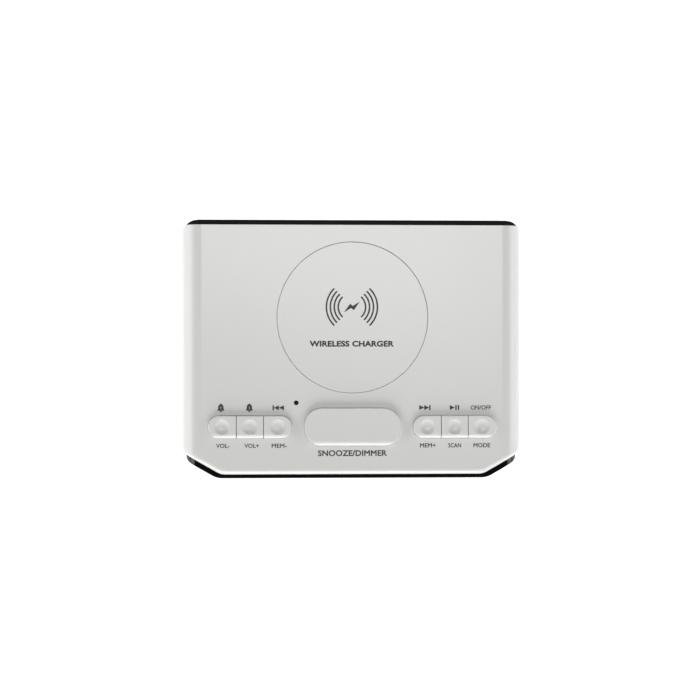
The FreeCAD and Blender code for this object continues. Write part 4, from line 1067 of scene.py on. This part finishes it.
@dataclass
class Display:
    """The lit parts of the display, in front of the milky bars.

    Attributes:
        palette: Where materials come from.
        time: What the four digits show.
        digit_width: Overall width of a digit.
        half_bar: Half the thickness of a bar.
        gap: How much shorter each bar is than its row, at each end.
        colon_room: Extra room between a pair of digits and the middle.
        pitch: Distance between the digits of a pair.
        lift: How far the lit faces stand in front of the block.
        glow: Half the thickness of a lit face.
        colon: Radius of the colon's dots, and their distance from its middle.
        dot: Radius of the alarm's dot.
    """

    palette: Palette
    time: str = "1008"
    digit_width: float = 12.6 * MM
    half_bar: float = 1.2 * MM
    gap: float = 0.5 * MM
    colon_room: float = 1.6 * MM
    pitch: float = 15.6 * MM
    lift: float = 0.12 * MM
    glow: float = 0.1 * MM
    colon: tuple[float, float] = (1.2 * MM, 4.2 * MM)
    dot: float = 0.6 * MM
    lit_bars: dict[str, str] = field(default_factory=lambda: {"0": "abcdef", "1": "bc", "8": "abcdefg"})

    def build(self) -> None:
        """Makes one lit piece for each digit, one for the colon and one for the alarm dot."""
        low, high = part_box("digit_segments")
        middle_z, tall = (low.z + high.z) / 2, high.z - low.z
        inner, outer = self.pitch / 2 + self.colon_room, self.pitch * 1.5 + self.colon_room
        for number, (digit, x) in enumerate(zip(self.time, (-outer, -inner, inner, outer))):
            self.light(f"lit_digit_{number + 1}", self.bars(digit, tall), x, middle_z)
        radius, rise = self.colon
        self.light("lit_colon", [arc_points((0, z), radius, 0, 345, 24) for z in (-rise, rise)], 0, middle_z)
        left = -outer - self.digit_width / 2 - 1.2 * MM
        self.light("lit_alarm_dot", [arc_points((0, 0), self.dot, 0, 345, 24)], left, high.z - 1 * MM)

    def light(self, name: str, outlines: list[Array], x: float, z: float) -> None:
        """Makes one lit piece.

        Args:
            name: The piece's name.
            outlines: Closed outlines about its middle.
            x: Its middle, across.
            z: Its middle, above the table.
        """
        spot = Spot(Facing.FRONT, (x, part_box("digit_module")[0].y - self.lift, z))
        self.palette.add(stamped(name, outlines, spot, self.glow), SEGMENT_LIT, "segment_glow")

    def bars(self, digit: str, tall: float) -> list[Array]:
        """Outlines of a digit's lit bars, a to g clockwise from the top with g in the middle.

        Args:
            digit: The figure to show.
            tall: The digit's height.

        Returns:
            Closed outlines in metres.
        """
        column, row = self.digit_width / 2 - self.half_bar, tall / 2 - self.half_bar
        places = {
            "a": (0, row, True), "g": (0, 0, True), "d": (0, -row, True), "b": (column, row / 2, False),
            "c": (column, -row / 2, False), "e": (-column, -row / 2, False), "f": (-column, row / 2, False),
        }
        lit = [places[letter] for letter in self.lit_bars[digit]]
        return [self.bar(x, z, (column if flat else row / 2) - self.gap, flat) for x, z, flat in lit]

    def bar(self, x: float, z: float, half_length: float, flat: bool) -> Array:
        """A bar with pointed ends, lying flat or standing up, wound anticlockwise."""
        long, short = half_length - 0.08 * MM, self.half_bar - 0.08 * MM
        outline = np.array([[-long, 0], [-long + short, -short], [long - short, -short], [long, 0],
                            [long - short, short], [-long + short, short]])
        turned_outline = outline if flat else outline[::-1, ::-1]
        return turned_outline + [x, z]


@dataclass
class SlotCloth:
    """Acoustic cloth stretched behind the sound slots of each side.

    Attributes:
        palette: Where materials come from.
        inner: Where it starts, from the middle.
        outer: Where it ends, from the middle.
        bend: Where the front turns into the facet.
        slope: How far the facet goes back for each unit outwards.
        softness: Length over which the cloth rounds the bend.
        panel: Thickness of the front panel, with the air behind it.
        low: Lower edge above the table.
        high: Upper edge above the table.
        thickness: Of the cloth.
    """

    palette: Palette
    inner: float = 47.2 * MM
    outer: float = 77.6 * MM
    bend: float = 63.3 * MM
    slope: float = 11.0 / 19.2
    softness: float = 4.0 * MM
    panel: float = 3.4 * MM
    low: float = 10.5 * MM
    high: float = 53.5 * MM
    thickness: float = 0.3 * MM

    def build(self) -> None:
        """Makes both cloths."""
        for side, name in ((-1, "left_slot_cloth"), (1, "right_slot_cloth")):
            piece = self.cloth(name, side)
            self.palette.add(piece, SLOT_CLOTH, "acoustic_cloth")

    def cloth(self, name: str, side: int) -> Piece:
        """One cloth, as a function of x and z.

        With d the distance past the bend, it stands back from the front by slope (d + sqrt(d^2 + s^2)) / 2,
        where s is the softness, which is flat before the bend and follows the facet after it. Its map
        measures the length along the cloth and the height.

        Args:
            name: The piece's name.
            side: -1 for the left, 1 for the right.

        Returns:
            The new piece.
        """
        x = np.linspace(self.inner, self.outer, 49)
        z = np.linspace(self.low, self.high, 25)
        past = x - self.bend
        back = self.slope * (past + np.sqrt(past**2 + self.softness**2)) / 2
        front = cad_bounds[0][1] + self.panel
        along, up = np.meshgrid(side * x, z, indexing="ij")
        depth = np.repeat((front + back)[:, None], len(z), axis=1)
        surface = np.stack([along, depth, up], axis=-1)
        if side < 0:
            surface = surface[::-1]
        points, faces = slab(surface, self.thickness)
        piece = mesh_piece(name, points, faces, smooth=True)
        step = np.hypot(np.diff(surface[:, 0, 0]), np.diff(surface[:, 0, 1]))
        length = np.concatenate([[0], np.cumsum(step)])
        flat = np.stack(np.broadcast_arrays(length[:, None], z[None, :]), axis=-1).reshape(-1, 2)
        corners = np.zeros(len(piece.data.loops), dtype=int)
        piece.data.loops.foreach_get("vertex_index", corners)
        layer = piece.data.uv_layers.new(name="cloth")
        layer.data.foreach_set("uv", np.concatenate([flat, flat])[corners].ravel())
        return piece


# ------------------------------------------------------------------ rear and underside


@dataclass
class RearPanel:
    """Print and small metalwork on the rear panel.

    Attributes:
        palette: Where materials come from.
        word_cap: Cap height of the socket names.
        drop: From a socket's middle down to its name.
        film: Thickness of the print, which is too thin to widen the case.
        names: Each socket's node, with its words and their width in millimetres.
        rim: Width and height of the plated ring's section, and its corners' radius.
        rim_place: Middle of that section, outwards from the socket's axis and out from its face.
        axis_drop: From the top of the audio socket to its axis.
    """

    palette: Palette
    word_cap: float = 1.9 * MM
    drop: float = 7.2 * MM
    film: float = 0.002 * MM
    names: tuple[tuple[str, str, float], ...] = (
        ("dc_jack", "DC IN 9V", 10.6), ("charge_socket_shell", "5V OUT", 8.2),
        ("aux_jack", "AUX", 4.9), ("antenna_gland", "FM", 3.2),
    )
    rim: tuple[float, float, float] = (0.75 * MM, 0.34 * MM, 0.14 * MM)
    rim_place: tuple[float, float] = (2.45 * MM, 0.10 * MM)
    axis_drop: float = 3.4 * MM

    def build(self) -> None:
        """Names each socket and rims the round one."""
        face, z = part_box("rear_cover")[1].y, middle_of("aux_jack").z - self.drop
        for node, words, width in self.names:
            spot = Spot(Facing.REAR, (middle_of(node).x, face, z))
            letters = Lettering(words, width * MM, self.word_cap, height=self.film)
            self.palette.add(letters.piece(f"rear_{node}", spot), LIGHT_INK, "light_ink")
        self.jack_rim()

    def jack_rim(self) -> None:
        """Plated ring on the audio socket's nose: a rounded rectangle turned about the socket's axis."""
        low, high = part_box("aux_jack")
        points, faces = turned(round_box(*self.rim, self.rim_place), 48)
        piece = mesh_piece("aux_rim", points, faces, smooth=True)
        spot = Spot(Facing.REAR, ((low.x + high.x) / 2, high.y, high.z - self.axis_drop))
        piece.data.transform(spot.matrix())
        self.palette.add(piece, NICKEL, "nickel")


@dataclass
class Underside:
    """The blank label and the moulded signs round the cell's cap.

    Attributes:
        palette: Where materials come from.
        label: Width and height of the label.
        label_y: Its middle.
        relief: How far the moulded signs stand out.
        signs: Each moulded word, its angle round the cap in degrees, and its width in millimetres.
        reach: Distances of the words from the cap's middle, across and along the case.
        sign_cap: Their cap height.
    """

    palette: Palette
    label: tuple[float, float] = (46.0 * MM, 22.0 * MM)
    label_y: float = -37.0 * MM
    relief: float = 0.15 * MM
    signs: tuple[tuple[str, float, float], ...] = (("OPEN", 35, 6.4), ("CLOSE", 90, 8.0))
    reach: tuple[float, float] = (16.268 * MM, 16.6 * MM)
    sign_cap: float = 1.9 * MM

    def build(self) -> None:
        """Makes the blank label and the signs."""
        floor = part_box("lower_case")[0].z
        outline = round_box(*self.label, 1.6 * MM)
        plate = stamped("blank_label", [outline], Spot(Facing.UNDERSIDE, (0, self.label_y, floor)), 0.06 * MM)
        self.palette.add(plate, LABEL_GREY, "label_plate")
        cap = middle_of("battery_cap")
        for word, angle, width in self.signs:
            turn = math.radians(angle)
            place = (cap.x + self.reach[0] * math.cos(turn), cap.y + self.reach[1] * math.sin(turn), floor)
            letters = Lettering(word, width * MM, self.sign_cap, height=2 * self.relief)
            piece = letters.piece(f"moulded_{word.lower()}", Spot(Facing.UNDERSIDE, place))
            self.palette.add(piece, TRAY_BLACK, "black_matte")


# ------------------------------------------------------------------ inside


@dataclass
class ChargingCoil:
    """The wound coil that stands for the plain ring under the pad.

    Attributes:
        palette: Where materials come from.
        turns: Number of turns side by side.
        hole: Radius of the open middle.
        valley: Thickness between two turns, as a share of the coil's.
    """

    palette: Palette
    turns: int = 14
    hole: float = 10.0 * MM
    valley: float = 0.72

    def build(self) -> None:
        """Turns a ridged profile about the coil's axis.

        The upper and lower edges of the profile stand at plus and minus h times (v + (1 - v) |sin|), with one
        arch of the sine for each turn of wire, where h is half the coil's thickness and v is the valley.
        """
        low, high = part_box("charger_coil")
        half = (high.z - low.z) / 2
        outer = (high.x - low.x) / 2
        share = np.linspace(0, 1, self.turns * 8 + 1)
        rise = half * (self.valley + (1 - self.valley) * np.abs(np.sin(np.pi * self.turns * share)))
        radius = self.hole + (outer - self.hole) * share
        lower = np.column_stack([radius, -rise])
        upper = np.column_stack([radius, rise])[::-1]
        points, faces = turned(np.concatenate([lower, upper]), 96)
        centre = (low + high) / 2
        piece = mesh_piece("coil_winding", points + np.array(centre), faces, smooth=True)
        finish = Winding("coil_copper", (0.55, 0.22, 0.09), tuple(centre))
        self.palette.add(piece, finish, "coil_copper")
        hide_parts("charger_coil")


@dataclass
class BoardParts:
    """Rows of small soldered parts on the main board.

    Attributes:
        palette: Where materials come from.
        seed: Start of the random choice of which places are filled.
        fields: The ranges of x and y that the parts stand in, in millimetres.
        pitch: Distance between places in x and in y, in millimetres.
        filled: Share of the places that hold a part.
    """

    palette: Palette
    seed: int = 7
    fields: tuple = (((-50, -14), (42, 53)), ((10, 56), (34, 44)))
    pitch: tuple[float, float] = (3.1, 2.6)
    filled: float = 0.75

    def build(self) -> None:
        """Fills the fields: a grid of places in each, of which a random share hold a part."""
        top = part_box("main_board")[1].z
        choice = np.random.default_rng(self.seed)
        centres = []
        for across, along in self.fields:
            steps = np.arange(*across, self.pitch[0]), np.arange(*along, self.pitch[1])
            grid = np.stack(np.meshgrid(*steps), axis=-1).reshape(-1, 2)
            centres.append(grid[choice.random(len(grid)) < self.filled])
        flat = np.concatenate(centres) * MM
        for name, size, finish, slot in (
            ("small_parts", (0.9, 0.85, 0.5), PACKAGE_BLACK, "chip_black"),
            ("solder_ends", (1.9, 0.8, 0.34), SCREW_ZINC, "screw_zinc"),
        ):
            sides = np.array(size) * MM
            places = np.column_stack([flat, np.full(len(flat), top + sides[2] / 2)])
            points, faces = boxes(places, np.tile(sides, (len(flat), 1)))
            self.palette.add(mesh_piece(name, points, faces), finish, slot)


# ------------------------------------------------------------------ studio


@dataclass(frozen=True)
class SoftLight:
    """A large soft lamp, turned to face the object.

    Attributes:
        name: The lamp's name.
        place: Where it hangs, in metres.
        size: Its width and height.
        power: In watts.
        colour: Of its light.
    """

    name: str
    place: tuple[float, float, float]
    size: tuple[float, float]
    power: float
    colour: Colour = (1.0, 1.0, 1.0)

    def hang(self) -> None:
        """Makes the lamp and aims it at the middle of the object."""
        lamp = bpy.data.lights.new(self.name, "AREA")
        lamp.shape = "RECTANGLE"
        lamp.size, lamp.size_y = self.size
        lamp.energy = self.power
        lamp.color = self.colour
        holder = bpy.data.objects.new(self.name, lamp)
        bpy.context.scene.collection.objects.link(holder)
        holder.location = self.place
        aim = Vector((0, 0, 0.04)) - Vector(self.place)
        holder.rotation_euler = aim.to_track_quat("-Z", "Y").to_euler()
        holder.visible_camera = False


@dataclass
class Studio:
    """Pale floor, soft lamps, surrounding light and the camera.

    Attributes:
        view_width: Width of what the camera sees, at the height of the case's widest part.
        view_height: How far the camera hangs above that height.
        widest: That height above the table.
        aim: Where the middle of the view is.
        lean: How many degrees the camera hangs to the left of straight above.
        sensor: Width of the camera's sensor, in millimetres.
        floor_side: Half the width of the floor, in metres.
        floor_glow: Brightness of the floor's own light.
        horizon: Brightness of the surroundings at the horizon.
        overhead: The same, higher up.
        fade_height: Sine of the elevation from which the surroundings are as overhead.
    """

    view_width: float = 340.7 * MM
    view_height: float = 900.0 * MM
    widest: float = 52.0 * MM
    aim: tuple[float, float] = (-0.7 * MM, -0.4 * MM)
    lean: float = 3.0
    sensor: float = 36.0
    floor_side: float = 6.0
    floor_glow: float = 0.80
    horizon: float = 0.40
    overhead: float = 0.03
    fade_height: float = 0.45

    def build(self) -> None:
        """Sets up the whole studio."""
        self.floor()
        self.surroundings()
        for lamp in self.lamps():
            lamp.hang()
        self.camera()

    def lamps(self) -> list[SoftLight]:
        """The lamps: a broad low one in front, one overhead towards the rear, and one at each side."""
        return [
            SoftLight("front_lamp", (-0.10, -2.20, 0.92), (2.4, 1.2), 50.0, (1.0, 0.985, 0.96)),
            SoftLight("top_lamp", (0.045, 0.20, 1.10), (0.46, 0.36), 2.85, (1.0, 1.0, 1.0)),
            SoftLight("left_lamp", (-0.98, 0.08, 0.38), (0.8, 0.6), 4.4),
            SoftLight("right_lamp", (0.98, 0.08, 0.42), (0.8, 0.6), 4.2),
        ]

    def floor(self) -> None:
        """A wide pale floor with a faint unevenness, which isn't part of the object."""
        corners = np.array([[-1, -1, 0], [1, -1, 0], [1, 1, 0], [-1, 1, 0]]) * self.floor_side
        piece = mesh_piece("floor", corners, [np.array([[0, 1, 2, 3]])])
        recipe = Recipe("floor_paper")
        cloud = recipe.noise(0.25, 2.0)
        recipe.feed("Base Color", recipe.tint(cloud, (0.90, 0.90, 0.90), (0.92, 0.92, 0.92)))
        recipe.constants(Roughness=0.9, Emission_Color=(1, 1, 1, 1), Emission_Strength=self.floor_glow)
        piece.data.materials.append(recipe.material)

    def surroundings(self) -> None:
        """Pale light from all round, strongest at the horizon and fading upwards."""
        world = bpy.data.worlds.new("studio")
        bpy.context.scene.world = world
        world.use_nodes = True
        tree = world.node_tree
        direction = tree.nodes.new("ShaderNodeSeparateXYZ")
        tree.links.new(tree.nodes.new("ShaderNodeTexCoord").outputs["Generated"], direction.inputs[0])
        fade = tree.nodes.new("ShaderNodeMapRange")
        numbers = {"From Max": self.fade_height, "To Min": self.horizon, "To Max": self.overhead}
        for name, value in numbers.items():
            fade.inputs[name].default_value = value
        tree.links.new(direction.outputs["Z"], fade.inputs["Value"])
        backdrop = tree.nodes["Background"]
        backdrop.inputs["Color"].default_value = (0.97, 0.98, 1.0, 1)
        tree.links.new(fade.outputs["Result"], backdrop.inputs["Strength"])
        bpy.context.scene.view_settings.view_transform = "Standard"

    def camera(self) -> None:
        """A camera straight above, with its upper edge towards the rear of the case."""
        lens = bpy.data.cameras.new("camera")
        lens.sensor_width = self.sensor
        lens.lens = self.sensor * self.view_height / self.view_width
        lens.clip_start, lens.clip_end = 0.01, 20.0
        holder = bpy.data.objects.new("camera", lens)
        bpy.context.scene.collection.objects.link(holder)
        lean = math.radians(self.lean)
        back = Vector((-math.sin(lean), 0, math.cos(lean)))
        holder.location = Vector((*self.aim, self.widest)) + self.view_height * back
        holder.rotation_euler = (0, -lean, 0)
        bpy.context.scene.camera = holder


def main() -> None:
    """Builds the looks in order."""
    logging.basicConfig(level=logging.INFO, format="%(message)s")
    Studio().build()
    palette = Palette()
    Mouldings(palette).build()
    TopPrint(palette).build()
    Display(palette).build()
    SlotCloth(palette).build()
    RearPanel(palette).build()
    Underside(palette).build()
    ChargingCoil(palette).build()
    BoardParts(palette).build()


if __name__ == "__main__":
    main()
